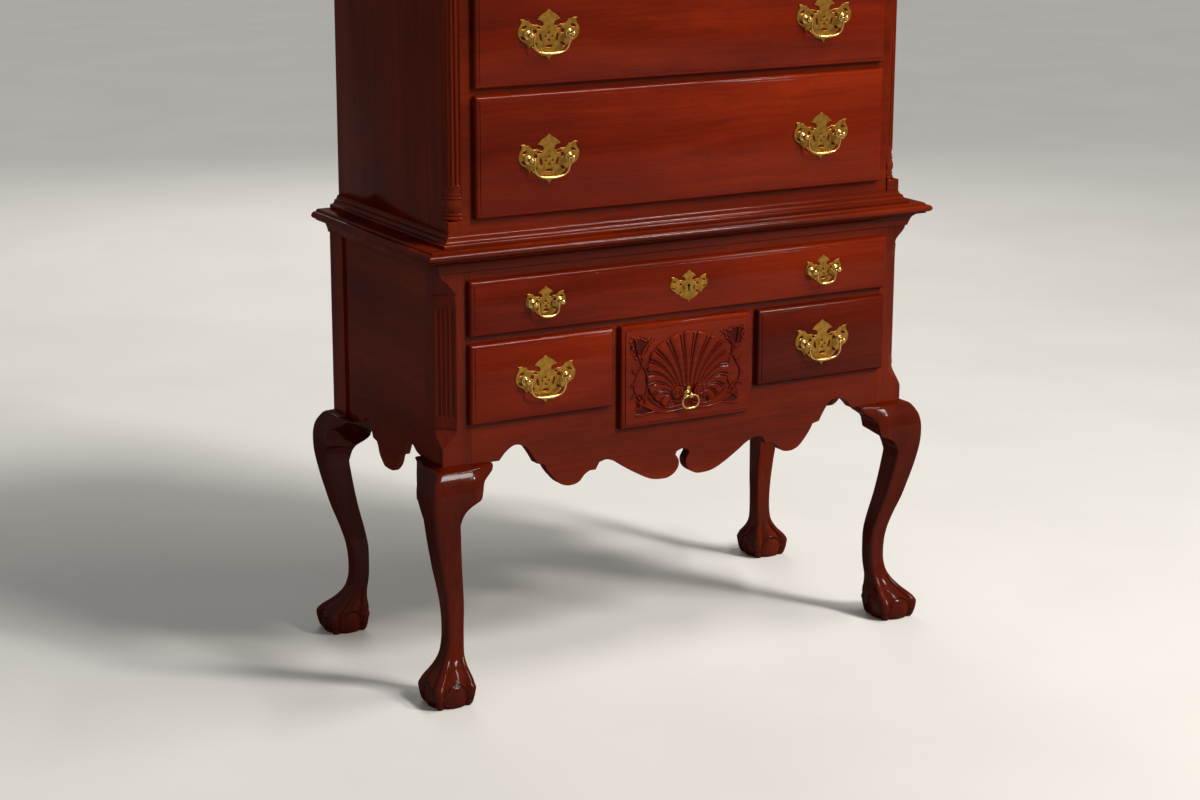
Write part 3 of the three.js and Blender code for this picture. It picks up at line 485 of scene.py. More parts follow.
def post_body(chamfered):
    """The post above a knee; a front one has a fluted chamfer that ends in lamb's tongues."""
    bottom, top = KNEE + 26, LOWER_TOP - 35
    levels = [KNEE, bottom, LOWER_TOP]
    if chamfered:
        runs = [(bottom, bottom + TONGUE, 12), (bottom + 39, bottom + 56, 2), (bottom + 56, bottom + 64, 9),
                (top - 64, top - 56, 9), (top - 56, top - 39, 2), (top - TONGUE, top, 12)]
        levels = [KNEE] + [z for a, b, n in runs for z in np.linspace(a, b, n)] + [LOWER_TOP]
    share = np.linspace(-1, 1, 73)
    rings = []
    for z in levels:
        within = min(z - bottom, top - z) if chamfered else 0
        step, into = within / TONGUE, within - FLUTE_START
        stop = 1.6 if 1.02 < step < 1.03 else 0
        cut = max(CHAMFER * (ease(step) if step < 1 else 1) - stop, 0.7)
        half = FLUTE_HALF * dome(max(0, 1 - into / FLUTE_HALF)) if into > 0 else 0
        depth = np.zeros(len(share))
        if half > 0.05:
            deepest = FLUTE_DEPTH * half / FLUTE_HALF
            for centre in (-0.6, -0.2, 0.2, 0.6):
                away = (share - centre) * cut / math.sqrt(2)
                depth = np.maximum(depth, deepest * dome(away / half))
        u = -cut / 2 + share * cut / 2 - depth / math.sqrt(2)
        v = -cut / 2 - share * cut / 2 - depth / math.sqrt(2)
        face = np.stack([u, v], 1)[::-1]
        section = np.vstack([[(-POST, -POST), (0, -POST)], face, [(-POST, 0)]])
        rings.append(np.column_stack([section, np.full(len(section), z)]))
    return loft(rings)


# Rows of distance from the corner, drop of the face's lower edge and of the back's, how far the roll stands
# out as a share of the leg's own face, the roll's height and the depth behind the case's face
FRONT_BLOCK = [(12, 104, 97, .97, 24, 17), (16, 98, 91, .98, 24, 19), (19, 89, 82, 1.004, 24, 20),
               (22, 79, 72, 1.006, 24, 22), (26, 72, 65, 1.006, 24, 24), (32, 66, 59, 1.006, 24, 26),
               (40, 60.5, 53.5, 1.006, 24, 28), (46, 57.6, 51, 1, 24, 30), (55, 54.5, 48.5, .93, 23.5, 30),
               (58.5, 51, 47, .89, 23, 30), (60, 46, 44, .87, 22.5, 30), (61.5, 38, 38, .85, 22, 30),
               (63.5, 29, 29, .81, 21, 30), (67, 23, 23, .74, 19.5, 30), (73, 18.5, 18.5, .64, 16.5, 30),
               (79, 14.5, 14.5, .54, 13.5, 30), (85, 10.5, 10.5, .43, 10, 30), (88, 6, 6, .33, 6, 30),
               (89.5, 2.5, 2.5, .25, 2.4, 30)]
SIDE_BLOCK = [(12, 96, 104, .97, 24, 17), (18, 84, 90, .98, 24, 20), (21, 74, 79, 1.004, 24, 22),
              (26, 64, 70, 1.006, 24, 23), (30, 58, 64.5, 1.006, 24, 25), (34.3, 54, 60.5, 1.006, 24, 26),
              (35.3, 30, 59.5, 1.006, 24, 26), (38, 26, 58, 1, 23.5, 27), (42, 22.5, 55.5, .95, 22, 28),
              (50, 18.5, 51, .82, 17.5, 29), (58, 14.5, 47, .68, 13.8, 30), (67, 10, 41.5, .52, 9.6, 31),
              (72, 6, 39, .43, 5.8, 31), (76, 3, 36.5, .37, 2.8, 31), (80, 2.6, 34, .33, 2.4, 31),
              (86, 2.4, 29.5, .27, 2.2, 31), (92.5, 2.2, 20, .2, 2, 31)]


def knee_face(down):
    """How far a knee's flat face stands out from the case, a given drop below the knee line."""
    outer, inner = LEG_OUTER(KNEE - down), LEG_INNER(KNEE - down)
    corner = 2 ** (0.5 - 1 / LEG_SQUARENESS[-1][1])
    return (outer + inner) / math.sqrt(2) + (outer - inner) / corner


def knee_block(rows):
    """The bracket beside a knee: a roll that carries on from it, a face below and a hollowed underside."""
    rows = np.array(rows, float)
    rings, shades = [], []
    stops = [np.linspace(a, b, 5)[:-1] for a, b in zip(rows[:, 0], rows[1:, 0])]
    for across in np.concatenate(stops + [rows[-1:, 0]]):
        face, back, swell, roll, depth = (np.interp(across, rows[:, 0], rows[:, i]) for i in range(1, 6))
        downs = np.linspace(0, 1, 10) ** 1.5 * min(roll, face * 0.7)
        downs = np.append(downs, downs[-1] + (face - downs[-1]) * np.linspace(0.1, 1, 8))
        outline = [(0, -0.2)] + list(zip(swell * knee_face(downs * KNEE_ROLL / roll), downs))
        far = outline[-1][0]
        outline += [(far - 0.6, face + 0.5)]
        outline += [(far - 1.8 - (far - 1.8 + depth) * t, face + 0.8 + (back - face - 0.8) * t ** 1.3)
                    for t in np.linspace(0, 1, 9)]
        outline += [(-depth - 0.5, -0.2)]
        rings.append([(-across, out, KNEE - down) for out, down in outline])
        # Painted shade: the hollowed underside is darker the deeper it is
        hollow = max(back - face, 0) / 30
        shades.append([1.0] * 20 + [1 - 0.5 * min(hollow * (0.5 + t), 1) for t in np.linspace(0, 1, 10)])
    return loft(rings), np.concatenate(shades) * LEG_TONE


def at_corner(shape):
    """From the corner's own axes into the frame's."""
    points, faces = shape
    return np.stack([points[:, 0] + LOWER_HALF, LOWER_FACE - points[:, 1], points[:, 2]], 1), faces


def build_legs():
    body, shade = leg_body()
    body = at_corner(body)
    (block, block_shade), (beside, beside_shade) = knee_block(FRONT_BLOCK), knee_block(SIDE_BLOCK)
    block, beside = at_corner(block), at_corner((beside[0][:, [1, 0, 2]], beside[1]))
    for side, x_flip in ("right", ""), ("left", "x"):
        for end, y_flip in ("front", ""), ("rear", "y"):
            name, flip = f"leg_{end}_{side}", x_flip + y_flip
            post = at_corner(post_body(end == "front"))
            light = np.concatenate([shade * LEG_TONE, np.ones(len(post[0]))])
            case_piece(f"{name}_carved", flipped(merge(body, post), flip), LEG, name, angle=38, shade=light)
            case_piece(f"{name}_side_knee_block", flipped(beside, flip), LEG, shade=beside_shade)
            if end == "front":
                case_piece(f"{name}_front_knee_block", flipped(block, flip), LEG, shade=block_shade)


# The lower case

# Half outlines of the scalloped edges, as shares of the half width and of the height
APRON = [(1, .76), (.905, .76), (.873, .76), (.841, .9), (.802, .99), (.751, .93), (.729, .82), (.698, .61),
         (.666, .58), (.649, .46), (.622, .32), (.588, .19), (.546, .14), (.502, .18), (.473, .3),
         (.451, .35), (.422, .35), (.405, .47), (.373, .5), (.334, .45), (.276, .3), (.212, .14),
         (.146, .02), (.11, 0), (.068, .01), (.032, .1), (.018, .2), (.018, .29), (.034, .4), (.026, .46)]
SIDE_APRON = [(1, .7623), (.777, .7623), (.711, .79), (.669, .825), (.627, .888), (.59, .937), (.53, 1),
              (.476, .944), (.431, .818), (.398, .678), (.373, .573), (.286, .531), (.259, .448), (.226, .28),
              (.169, .133), (.096, .014)]
OPENING_HALF, SHELL_HALF, SMALL_START = 405, 125.3, 150.7


def apron_outline(shares, half, peak, lobe, sharp, notch=()):
    low = KNEE - lobe
    points = [(a * half, low + u * (peak + lobe)) for a, u in shares]
    right = list(map(tuple, smooth(points, sharp, 6))) + list(notch)
    return right + [(-x, z) for x, z in right[::-1]] + [(-half, LOWER_TOP), (half, LOWER_TOP)]


def lower_openings():
    """Each drawer's lip, and the opening behind it across X."""
    low, side = SMALL_TOP - SMALL_HEIGHT, OPENING_HALF + 9.5
    start, shell = SMALL_START - LIP_OVERLAP, SHELL_HALF + LIP_OVERLAP
    return {
        "long": ((-side, side, LONG_TOP - LONG_HEIGHT, LONG_TOP), (-OPENING_HALF, OPENING_HALF)),
        "left": ((-side, -start, low, SMALL_TOP), (-OPENING_HALF, -SMALL_START)),
        "shell": ((-shell, shell, SMALL_TOP - SHELL_HEIGHT, SMALL_TOP), (-SHELL_HALF, SHELL_HALF)),
        "right": ((start, side, low, SMALL_TOP), (SMALL_START, OPENING_HALF)),
    }


def hole(lip, across):
    return across[0], across[1], lip[2] + LIP_OVERLAP, lip[3] - LIP_OVERLAP


def both(shapes):
    """Shapes on the right, with their mirror images."""
    right = merge(*shapes)
    return merge(right, flipped(right, "x"))


def build_lower_case():
    gaps = {name: hole(*gap) for name, gap in lower_openings().items()}
    outline = apron_outline(APRON, APRON_HALF, 24, 76, {2, 7, 8, 15, 16, 17, 28, 29}, [(0, KNEE - 27)])
    back = LOWER_FACE + 22
    front = slab([outline] + [rectangle(*gap) for gap in gaps.values()], back, LOWER_FACE, 0.8)
    case_piece("lower_frame_front", front, CASE_X, "lower_front_frame")
    long, small, shell = (gaps[name][2] for name in ("long", "right", "shell"))
    runners = [(385, APRON_HALF, long - RUNNER, long), (385, APRON_HALF, small - RUNNER, small),
               (SHELL_HALF, SMALL_START, shell - RUNNER, gaps["right"][3]),
               (SMALL_START - 5, SMALL_START + 25, small - RUNNER, small),
               (SHELL_HALF - 25, SHELL_HALF + 5, shell - RUNNER, shell)]
    runners = both(bar(x0, x1, back - 5, BACK_INNER, low, high) for x0, x1, low, high in runners)
    case_piece("lower_frame_runners", runners, INNER)
    outline = apron_outline(SIDE_APRON, CASE_BACK - POST, 17, 54.5, {1, 10, 11}, [(0, KNEE - 54.5)])
    panel = slab([outline], 0, -SIDE_BOARD, 0.8)
    panel = moved(panel, x=LOWER_HALF - SIDE_RECESS - SIDE_BOARD, matrix=QUARTER_TURN_Z)
    case_pair("lower_side_{}_panel", panel, CASE_Y, "lower_side_{}")
    build_back("lower", APRON_HALF, KNEE, LOWER_TOP, 6)


def build_back(name, half, low, high, count):
    """Upright back boards, side by side."""
    edges = np.linspace(-half, half, count + 1)
    boards = [bar(a + 0.4, b - 0.4, BACK_INNER, CASE_BACK, low, high, 1.2) for a, b in zip(edges, edges[1:])]
    piece(f"{name}_back_boards", merge(*boards), "case", "back_boards", BACKING, f"{name}_back")


def moulding(profile, half, face, back=CASE_BACK):
    """A moulding round the left side, the front and the right side, mitred at the front corners."""
    stations = [(-half, back, -1, 0), (-half, face, -1, -1), (half, face, 1, -1), (half, back, 1, 0)]
    return loft([[(x + dx * out, y + dy * out, z) for out, z in profile] for x, y, dx, dy in stations])


def build_waist():
    def up(points, base):
        return [(out, base + z) for out, z in points]

    profile = [(-1, 0), (1.6, 0), (3.2, 1), (3.2, 3.5)] + quarter((4.4, 4), (23, 23.5), False, 9)
    profile += [(25.6, 23.5), (25.6, 26)] + quarter((25.6, 26), (34, 32), True, 6)
    profile += quarter((34, 32), (27, 38.5), False, 6) + [(25, 39), (25, 40.2), (22, 42.6)]
    profile += [(-50, 43), (-50, 36), (-1, 36)]
    waist = moulding(up(profile, LOWER_TOP - 36), LOWER_HALF, LOWER_FACE)
    case_piece("waist_moulding_run", waist, CASE_X, "waist_moulding", angle=28)
    base = [(-1, 0), (17, 0), (17, 4)] + quarter((17, 4), (14.4, 6.4), False, 4)
    base += [(13.4, 6.4)] + quarter((13.4, 6.4), (8.6, 12.4), True, 6) + [(7.4, 12.4), (7.4, 13.8)]
    base = up(base + quarter((7.4, 13.8), (3.4, 19), True, 5) + [(2.6, 19.2), (2.2, 21), (-1, 21)], WAIST_TOP)
    case_piece("upper_base_moulding", moulding(base, UPPER_HALF, UPPER_FACE), CASE_X, angle=28)


# The upper case

UPPER_OPENING, LOWEST_LIP = 394.6, 41.8
COLUMN_PLINTH, COLUMN_BLOCK, CAPITAL = 41, 64, 34


def upper_openings():
    gaps, low, lip = {}, WAIST_TOP + LOWEST_LIP, UPPER_OPENING + LIP_OVERLAP
    for number, height in enumerate(UPPER_HEIGHTS, 1):
        gaps[f"upper_drawer_{number}"] = (-lip, lip, low, low + height), (-UPPER_OPENING, UPPER_OPENING)
        low += height + RAIL
    return gaps


def build_upper_case():
    gaps = [hole(*gap) for gap in upper_openings().values()]
    outline = rectangle(-COLUMN_X, COLUMN_X, WAIST_TOP, UPPER_TOP)
    front = slab([outline] + [rectangle(*gap) for gap in gaps], COLUMN_Y, UPPER_FACE, 0.8)
    case_piece("upper_frame_front", front, CASE_X, "upper_front_frame")
    ends = [bar(-UPPER_INSIDE, UPPER_INSIDE, COLUMN_Y, BACK_INNER, low, low + RUNNER)
            for low in (WAIST_TOP, UPPER_TOP - RUNNER)]
    rests = [bar(*limits, BACK_INNER, *heights) for _, _, low, _ in gaps for limits, heights in (
        ((374, UPPER_INSIDE, COLUMN_Y - 4), (low - RUNNER, low)),
        ((UPPER_OPENING, UPPER_INSIDE, COLUMN_Y), (low - RUNNER / 2, low + RUNNER)))]
    case_piece("upper_frame_boards", merge(*ends, both(rests)), INNER)
    panel = bar(UPPER_INSIDE, UPPER_HALF, COLUMN_Y, CASE_BACK, WAIST_TOP, UPPER_TOP, 0.8)
    case_pair("upper_side_{}_panel", panel, CASE_Z, "upper_side_{}")
    build_back("upper", UPPER_INSIDE, WAIST_TOP, UPPER_TOP, 5)


def sector(profile, flutes):
    """A quarter column: rings of (radius, height, flute share) about the inner corner."""
    turn = np.linspace(0, math.pi / 2, 91)
    rings = []
    for radius, z, share in profile:
        cut = np.zeros(len(turn))
        if share > 0:
            for centre in (np.arange(flutes) + 0.5) / flutes * math.pi / 2:
                cut = np.maximum(cut, 1.9 * share * dome((turn - centre) * radius / (2.75 * share)))
        r = radius - cut
        arc = np.stack([COLUMN_X + r * np.cos(turn), COLUMN_Y - r * np.sin(turn), np.full(len(turn), z)], 1)
        rings.append(np.vstack([[(COLUMN_X, COLUMN_Y, z)], arc]))
    return loft(rings)


def ring_bead(radius, bulge, low, high, steps=6):
    middle, half = (low + high) / 2, (high - low) / 2
    turn = np.linspace(-math.pi / 2, math.pi / 2, steps + 1)
    return [(radius + bulge * math.cos(t), middle + half * math.sin(t), 0) for t in turn]


def build_columns():
    low, high = WAIST_TOP + COLUMN_PLINTH, UPPER_TOP - COLUMN_BLOCK - CAPITAL
    base, shaft = low, low + 53
    profile = [(24.2, base, 0)] + ring_bead(23, 2.2, base, base + 6) + [(22.6, base + 7, 0)]
    profile += ring_bead(22.3, 1.6, base + 7.5, base + 12) + [(22, base + 12.5, 0)]
    profile += [(22 + 2.9 * math.sin(math.pi * t), base + 12.5 + 21.5 * t, 0)
                for t in np.linspace(0.03, 0.97, 12)]
    profile += ring_bead(21.8, 1.7, base + 34.5, base + 39) + ring_bead(21.4, 1.1, base + 40.5, base + 43.5)
    profile += [(21.2, base + 45, 0), (21.4, base + 49, 0), (22.6, shaft, 0)]
    rounded = [(0, 0), (0.3, 0.66), (0.9, 0.88), (1.8, 0.98), (2.8, 1)]
    profile += [(22.6, shaft + 4 + z, share) for z, share in rounded]
    profile += [(22.6, high - 4 - z, share) for z, share in rounded[::-1]]
    profile += [(22.6, high, 0), (21.4, high + 2, 0)] + ring_bead(21.4, 1.8, high + 2.5, high + 7)
    profile += [(21.2, high + 9, 0), (21.6, high + 16, 0), (23.6, high + 22, 0)]
    profile += ring_bead(23.4, 1.6, high + 22.5, high + 27) + [(24.2, high + 28, 0), (25, high + CAPITAL, 0)]
    blocks = [bar(COLUMN_X, UPPER_HALF, UPPER_FACE, COLUMN_Y, WAIST_TOP, low, 0.7),
              bar(COLUMN_X, UPPER_HALF + 2.5, UPPER_FACE - 2.5, COLUMN_Y, WAIST_TOP + 21, low, 0.9),
              bar(COLUMN_X, UPPER_HALF, UPPER_FACE, COLUMN_Y, UPPER_TOP - COLUMN_BLOCK, UPPER_TOP, 0.7)]
    whole = merge(sector(profile, 5), *blocks)
    case_pair("quarter_column_{}_turned", whole, CASE_Z, "quarter_column_{}", angle=30)


NOTCH = UPPER_TOP + 106
FINIAL_Y = COLUMN_Y - 24
NOTCH_HALF, ROSETTE_RADIUS, ROSETTE_DEPTH, PLINTH_HIGH = 26, 33, 53.4, 40


def scroll_stations(steps=72):
    p = np.array([(444, 0), (294.5, 0), (266, 233.7), (88, 205)], float) + (0, EAVES)
    t = np.linspace(0, 1, steps + 1)[:, None]
    at = (1 - t) ** 3 * p[0] + 3 * (1 - t) ** 2 * t * p[1] + 3 * (1 - t) * t * t * p[2] + t ** 3 * p[3]
    d = (1 - t) ** 2 * (p[1] - p[0]) + 2 * (1 - t) * t * (p[2] - p[1]) + t * t * (p[3] - p[2])
    d /= np.linalg.norm(d, axis=1)[:, None]
    return at, np.stack([d[:, 1], -d[:, 0]], 1)


def cornice_profile():
    points = [(-1, 0), (3.4, 0), (4.6, 1.2), (4.6, 4)] + quarter((4.6, 4), (8.5, 9), True, 5)
    points += [(9.6, 9), (9.6, 11)] + quarter((9.6, 11), (20.5, 22.5), False, 8) + [(22.6, 22.5), (22.6, 25)]
    points += quarter((22.6, 25), (28.6, 32.5), True, 6) + quarter((28.6, 32.5), (34, 43), False, 6)
    return points + [(36, 43), (36, 48), (-18, 48), (-18, 34), (-1, 34)]


def rosette(radius, depth):
    """A carved flower with eight petals round a button, standing on +Z."""
    turn = full_turn(128)
    rings, shades = [], []

    def add(share, height, light):
        rings.append(ring(share * radius, turn, height))
        shades.append(np.broadcast_to(light, turn.shape))

    # Painted shade: darker at the inner foot of the rim and low between the petals, with the petals lighter
    # as they rise
    for share, down in (1, depth), (1, 3), (0.985, 0.8), (0.95, 0), (0.9, 0), (0.87, 1), (0.85, 5):
        add(share, depth - down, 0.55 if down == 5 else 1.0)
    wave = np.abs(np.cos(4 * turn)) ** 0.6
    for share in np.linspace(0.84, 0.02, 26):
        petal = wave * math.sin(math.pi * min(share, 0.84) / 0.84) ** 0.6 * 7
        rise = petal * ease((share - 0.2) / 0.12) + 6.5 * dome(share / 0.24)
        add(share, depth - 6 + rise, 0.5 + 0.5 * np.clip(rise / 5, 0, 1))
    return loft(rings), np.concatenate(shades)


def build_crown():
    at, up = scroll_stations()
    profile = cornice_profile()
    rings = [[(UPPER_HALF + out, CASE_BACK, EAVES + z) for out, z in profile],
             [(UPPER_HALF + out, UPPER_FACE - out, EAVES + z) for out, z in profile]]
    rings += [[(x + z * ux, UPPER_FACE - out, y + z * uz) for out, z in profile]
              for (x, y), (ux, uz) in zip(at[2:], up[2:])]
    crest = at + CORNICE_SEAT * up
    eye = at[-1] + up[-1] * CORNICE_HEIGHT / 2
    edge = 2 * NOTCH_HALF
    right = [tuple(p) for p in crest[2:]] + [(edge, eye[1]), (edge, NOTCH + NOTCH_HALF)]
    right += [(edge - NOTCH_HALF * math.sin(t), NOTCH + NOTCH_HALF * math.cos(t))
              for t in np.linspace(0.15, math.pi / 2, 8)]
    outline = [(UPPER_HALF, UPPER_TOP)] + right
    outline = outline + [(-x, z) for x, z in outline[::-1]]
    board = slab([outline], COLUMN_Y, UPPER_FACE, 0.8)
    case_piece("crown_scroll_board", board, CASE_X, "pediment")
    # What stands on the board starts a little inside it, so that no faces coincide at its back
    rear = COLUMN_Y - 0.6
    case_pair("crown_moulding_{}", loft(rings), CASE_X, angle=26)
    flower, shade = rosette(ROSETTE_RADIUS, ROSETTE_DEPTH)
    flower = moved(facing_front(flower), eye[0], rear, eye[1])
    case_pair("crown_rosette_{}", flower, CARVED, shade=shade)
    tiers = (22, -20, 33, 1), (24, 33, PLINTH_HIGH, 1.6), (24, -20, -14, 1.6)
    plinth = [bar(-half, half, FINIAL_Y - half, rear, NOTCH + low, NOTCH + high, soft)
              for half, low, high, soft in tiers]
    case_piece("crown_plinth_block", merge(*plinth), CASE_Z)


def flame_radius(r, z, turn):
    """The flame above the urn is fluted, and its flutes are twisted."""
    lift = ease((z - 112) / 12)
    twist = turn + z * 0.045
    return r * (1 - 0.3 * lift * (0.5 - 0.5 * np.cos(5 * twist)) ** 1.4)


def build_finial():
    rows = [(21, 0), (22, 1.5), (22, 5), (20.5, 6.5), (12, 9.5), (9, 14), (8.4, 20), (10.4, 23), (12, 25),
            (10.5, 27.5), (13, 31), (22, 40), (30, 50), (34.5, 61), (35.6, 70), (34, 77), (36, 79), (36, 83),
            (33, 86), (25, 91), (17, 95), (13, 99), (15.4, 103), (15.4, 106), (14, 109), (19, 115),
            (22.6, 122), (22.4, 132), (19, 144), (14.4, 157), (9.4, 170), (5, 181), (1.6, 188), (0.3, 190)]
    fine = smooth(rows, {0, 2, 3, 15, 16, 17, 18, 21, 24}, 4)
    urn = moved(lathe(fine, 100, flame_radius), 0, FINIAL_Y, NOTCH + PLINTH_HIGH)
    case_piece("finial_flame_urn", urn, CASE_Z, "finial")


# Drawers


def field_of(face):
    """Where a drawer's flat field stands, in front of its case's face."""
    return face - SEAT - LIP_THICK - FIELD_RISE


def drawer_front(lip, across, face):
    """A lipped front: a thumbnail edge runs round a flat field, and a body behind fills the opening."""
    x0, x1, z0, z1 = lip
    back, field = face - SEAT, field_of(face)
    body = (across[0] + FIT, across[1] - FIT, z0 + LIP_OVERLAP + FIT, z1 - LIP_OVERLAP - FIT)
    edge = [(0, back), (0, field + 6.6)] + quarter((0, field + 6.6), (7.2, field + 1.1), False, 8)
    edge += [(7.4, field + 1.1), (7.6, field + 0.2), (FIELD_MARGIN, field)]
    levels = [(body, back + FRONT_SEAT), (body, back)]
    levels += [((x0 + inset, x1 - inset, z0 + inset, z1 - inset), y) for inset, y in edge]
    return loft([[(x, y, z) for x, z in rectangle(*limits)] for limits, y in levels])


def tails(x, face, low, high):
    """The dovetails of a drawer's side, let into the end of its front."""
    step = (high - low) / max(2, round((high - low) / 38))
    shapes = []
    for middle in np.arange(low + step / 2, high, step):
        outline = [(face + 12.2, middle - step * 0.30), (face + 0.6, middle - step * 0.42),
                   (face + 0.6, middle + step * 0.42), (face + 12.2, middle + step * 0.30)]
        shapes.append(moved(slab([outline], 0, 1.6, 0.1, 0), x=x, matrix=QUARTER_TURN_Z))
    return shapes


def build_drawer(name, lip, across, face):
    limits = hole(lip, across)
    if name != SHELL:
        front = drawer_front(lip, across, face)
        tone = DRAWER_DEEP if name == "lower_right_drawer" else DRAWER
        piece(f"{name}_lipped_front", front, name, "drawer_mahogany", tone, f"{name}_front", angle=28)
    x0, x1 = limits[0] + FIT, limits[1] - FIT
    y0, y1 = face - SEAT + FRONT_SEAT, BACK_INNER - BACK_ROOM
    z0, z1 = limits[2] + SEAT, limits[3] - HEADROOM
    sides = [bar(x0, x0 + WALL, y0, y1, z0, z1, 2), bar(x1 - WALL, x1, y0, y1, z0, z1, 2),
             *tails(x0 - 0.1, face, z0 + 3, z1), *tails(x1 - 1.5, face, z0 + 3, z1)]
    ends = [bar(x0 + WALL - 1, x1 - WALL + 1, y1 - WALL, y1 - 0.6, z0 + 1, z1 - 1, 1.4),
            bar(x0 + 6, x1 - 6, y0 - 1, y0 + WALL, z0, z1, 1)]
    bottom = bar(x0 + 6, x1 - 6, y0 + 2, y1 - 4, z0 + 2, z0 + FLOOR, 0.8)
    for part, shape, lining, stands_for in (("sides", merge(*sides), LINING_Y, f"{name}_box"),
                                            ("ends", merge(*ends), LINING_X, None),
                                            ("bottom", bottom, LINING_X, None)):
        piece(f"{name}_box_{part}", shape, name, "drawer_lining", lining, stands_for)


# Pulls

# A plate's right edge from its top down, as shares of half its width and of its height
PLATE_ROWS = [(0, 1), (.11, .942), (.26, .88), (.387, .8), (.3, .79), (.2, .753), (.187, .684), (.26, .664),
              (.377, .698), (.51, .704), (.587, .735), (.663, .795), (.71, .78), (.796, .812), (.94, .813),
              (.89, .777), (.92, .715), (1, .617), (.996, .513), (.91, .419), (.777, .363), (.644, .255),
              (.58, .3), (.5, .235), (.36, .15), (.2, .1), (.06, .07), (0, 0)]
PLATE_SHARP = {0, 3, 4, 7, 11, 12, 14, 15, 21, 22, 26, 27}
BALL = 5.3
# From a post's middle in to the middle of the bail's arm: the ball, the arm's radius and some clearance
ARM_INSET = 5.2 + 1.7 + 0.45


def plate_edge(width, height):
    right = smooth([(x * width / 2, (z - 0.51) * height) for x, z in PLATE_ROWS], PLATE_SHARP, 5)
    right = [tuple(p) for p in right]
    return right + [(-x, z) for x, z in right[-2:0:-1]]


def oval(x, z, a, b, tilt=0, count=16):
    turn = full_turn(count)
    u, v = a * np.cos(turn), b * np.sin(turn)
    c, s = math.cos(math.radians(tilt)), math.sin(math.radians(tilt))
    return [(x + c * p - s * q, z + s * p + c * q) for p, q in zip(u, v)]


def piercings(width, height):
    """The openwork of a plate: commas at the posts, a heart of crescents and small holes down the middle."""
    w, h = width / 2, height
    holes = [oval(0, .03 * h, 1.6, 2.2), oval(0, -.12 * h, 1.6, 2.2), oval(0, -.235 * h, 6.2, 2.2)]
    for side in (-1, 1):
        def add(x, z, a, b, tilt):
            holes.append(oval(side * x * w, z * h, a * w, b * w, side * tilt))
        add(.8, .15, .085, .045, -20)
        add(.83, -.055, .1, .04, 25)
        add(.45, .06, .062, .062, 0)
        add(.27, -.06, .035, .12, -12)
        add(.11, -.045, .026, .034, 0)
        add(.46, -.2, .1, .04, -35)
        add(.33, .13, .07, .03, 12)
    return holes


def post_shape(x):
    """A ball-headed post on a turned foot."""
    rows = [(7.4, 0), (7.4, 0.9), (6.6, 1.7), (5, 2.1), (4.6, 3), (3.2, 3.6), (2.7, 5.2), (2.7, 7),
            (3.6, 7.8)]
    rows += [(BALL * math.cos(t), PIVOT + BALL * math.sin(t)) for t in np.linspace(-0.72, math.pi / 2, 12)]
    return moved(facing_front(lathe(rows, 28)), x, -PLATE_THICK + 0.2, 0)


def bail_shape(posts, drop):
    inner = posts / 2 - ARM_INSET
    rows = [(posts / 2 - 1, 0), (posts / 2 - 5, 0), (inner + 0.6, -0.6), (inner * 1.035, -0.14 * drop),
            (inner * 1.055, -0.36 * drop), (inner * 1.01, -0.6 * drop), (inner * 0.84, -0.83 * drop),
            (inner * 0.5, -0.96 * drop), (inner * 0.18, -drop)]
    right = smooth(rows, {1}, 6)
    path = [(x, 0, z) for x, z in right] + [(-x, 0, z) for x, z in right[::-1]]
    radii = [1.55 + 1.3 * ease(1 - abs(x) / inner / 0.8) for x, _, z in path]
    return tube(path, radii, 14)


def ring_shape():
    half, drop = 16.4, 22.5
    rows = [(0, 0), (5, 0), (9, -0.6), (13, -3.2), (half, -10), (14, -17.5), (7.5, -21.8), (0, -drop)]
    right = [tuple(p) for p in smooth(rows, (), 6)]
    loop = right[:-1] + [(-x, z) for x, z in right[::-1][:-1]]
    path = [(x, 0, z) for x, z in loop]
    radii = [1.25 + 0.8 * ease((-z - 11) / 11) for _, z in loop]
    knobs = [moved(lathe([(0.3, -2.6), (2, -1.9), (2.7, 0), (2, 1.9), (0.3, 2.6)], 14), s * 13, 0, -2.6)
             for s in (-1, 1)]
    return merge(tube(path, radii, 14, True), *knobs)


def pull_set(kind, plate, posts, drop):
    """The meshes that all pulls of a kind share."""
    heads = merge(post_shape(-posts / 2), post_shape(posts / 2))
    openwork = slab([plate_edge(*plate)] + piercings(*plate), 0, -PLATE_THICK, 0.5)
    return (build_mesh(f"{kind}_plate", openwork, PLATE), build_mesh(f"{kind}_posts", heads, BRIGHT),
            build_mesh(f"{kind}_bail", bail_shape(posts, drop), BRIGHT))


def hang_pull(meshes, drawer, tail, x, field, z):
    plate, posts, bail = meshes
    place(f"{drawer}_pierced_plate{tail}", plate, drawer, f"{drawer}_plate{tail}", (x, field, z))
    place(f"{drawer}_ball_posts{tail}", posts, drawer, None, (x, field, z))
    body = f"{drawer}_bail{tail}"
    place(f"{body}_cast", bail, body, body, (x, field - PLATE_THICK - PIVOT, z))


def build_escutcheon(x, field, z):
    round_part = [(2.6 * math.sin(t), 2.6 * math.cos(t)) for t in np.linspace(-2.5, 2.5, 20)]
    keyhole = round_part + [(1.4, -9), (-1.4, -9)]
    beside = [h for h in piercings(*SMALL_PLATE) if abs(np.mean([x for x, _ in h])) > 6]
    plate = slab([plate_edge(*SMALL_PLATE), keyhole] + beside, 0, -PLATE_THICK, 0.5)
    name = "lower_long_drawer_escutcheon"
    piece(f"{name}_pierced", plate, "lower_long_drawer", "brass", PLATE, name, at=(x, field, z))
    # A dark block behind the keyhole is painted shade in the keyway
    dark = bar(-3.4, 3.4, -0.35, 0.5, -10, 3.4, 0.2)
    piece(f"{name}_keyway_shade", dark, "lower_long_drawer", "brass", KEYHOLE_SHADE, at=(x, field, z))


# The shell drawer's carving: a relief over its field


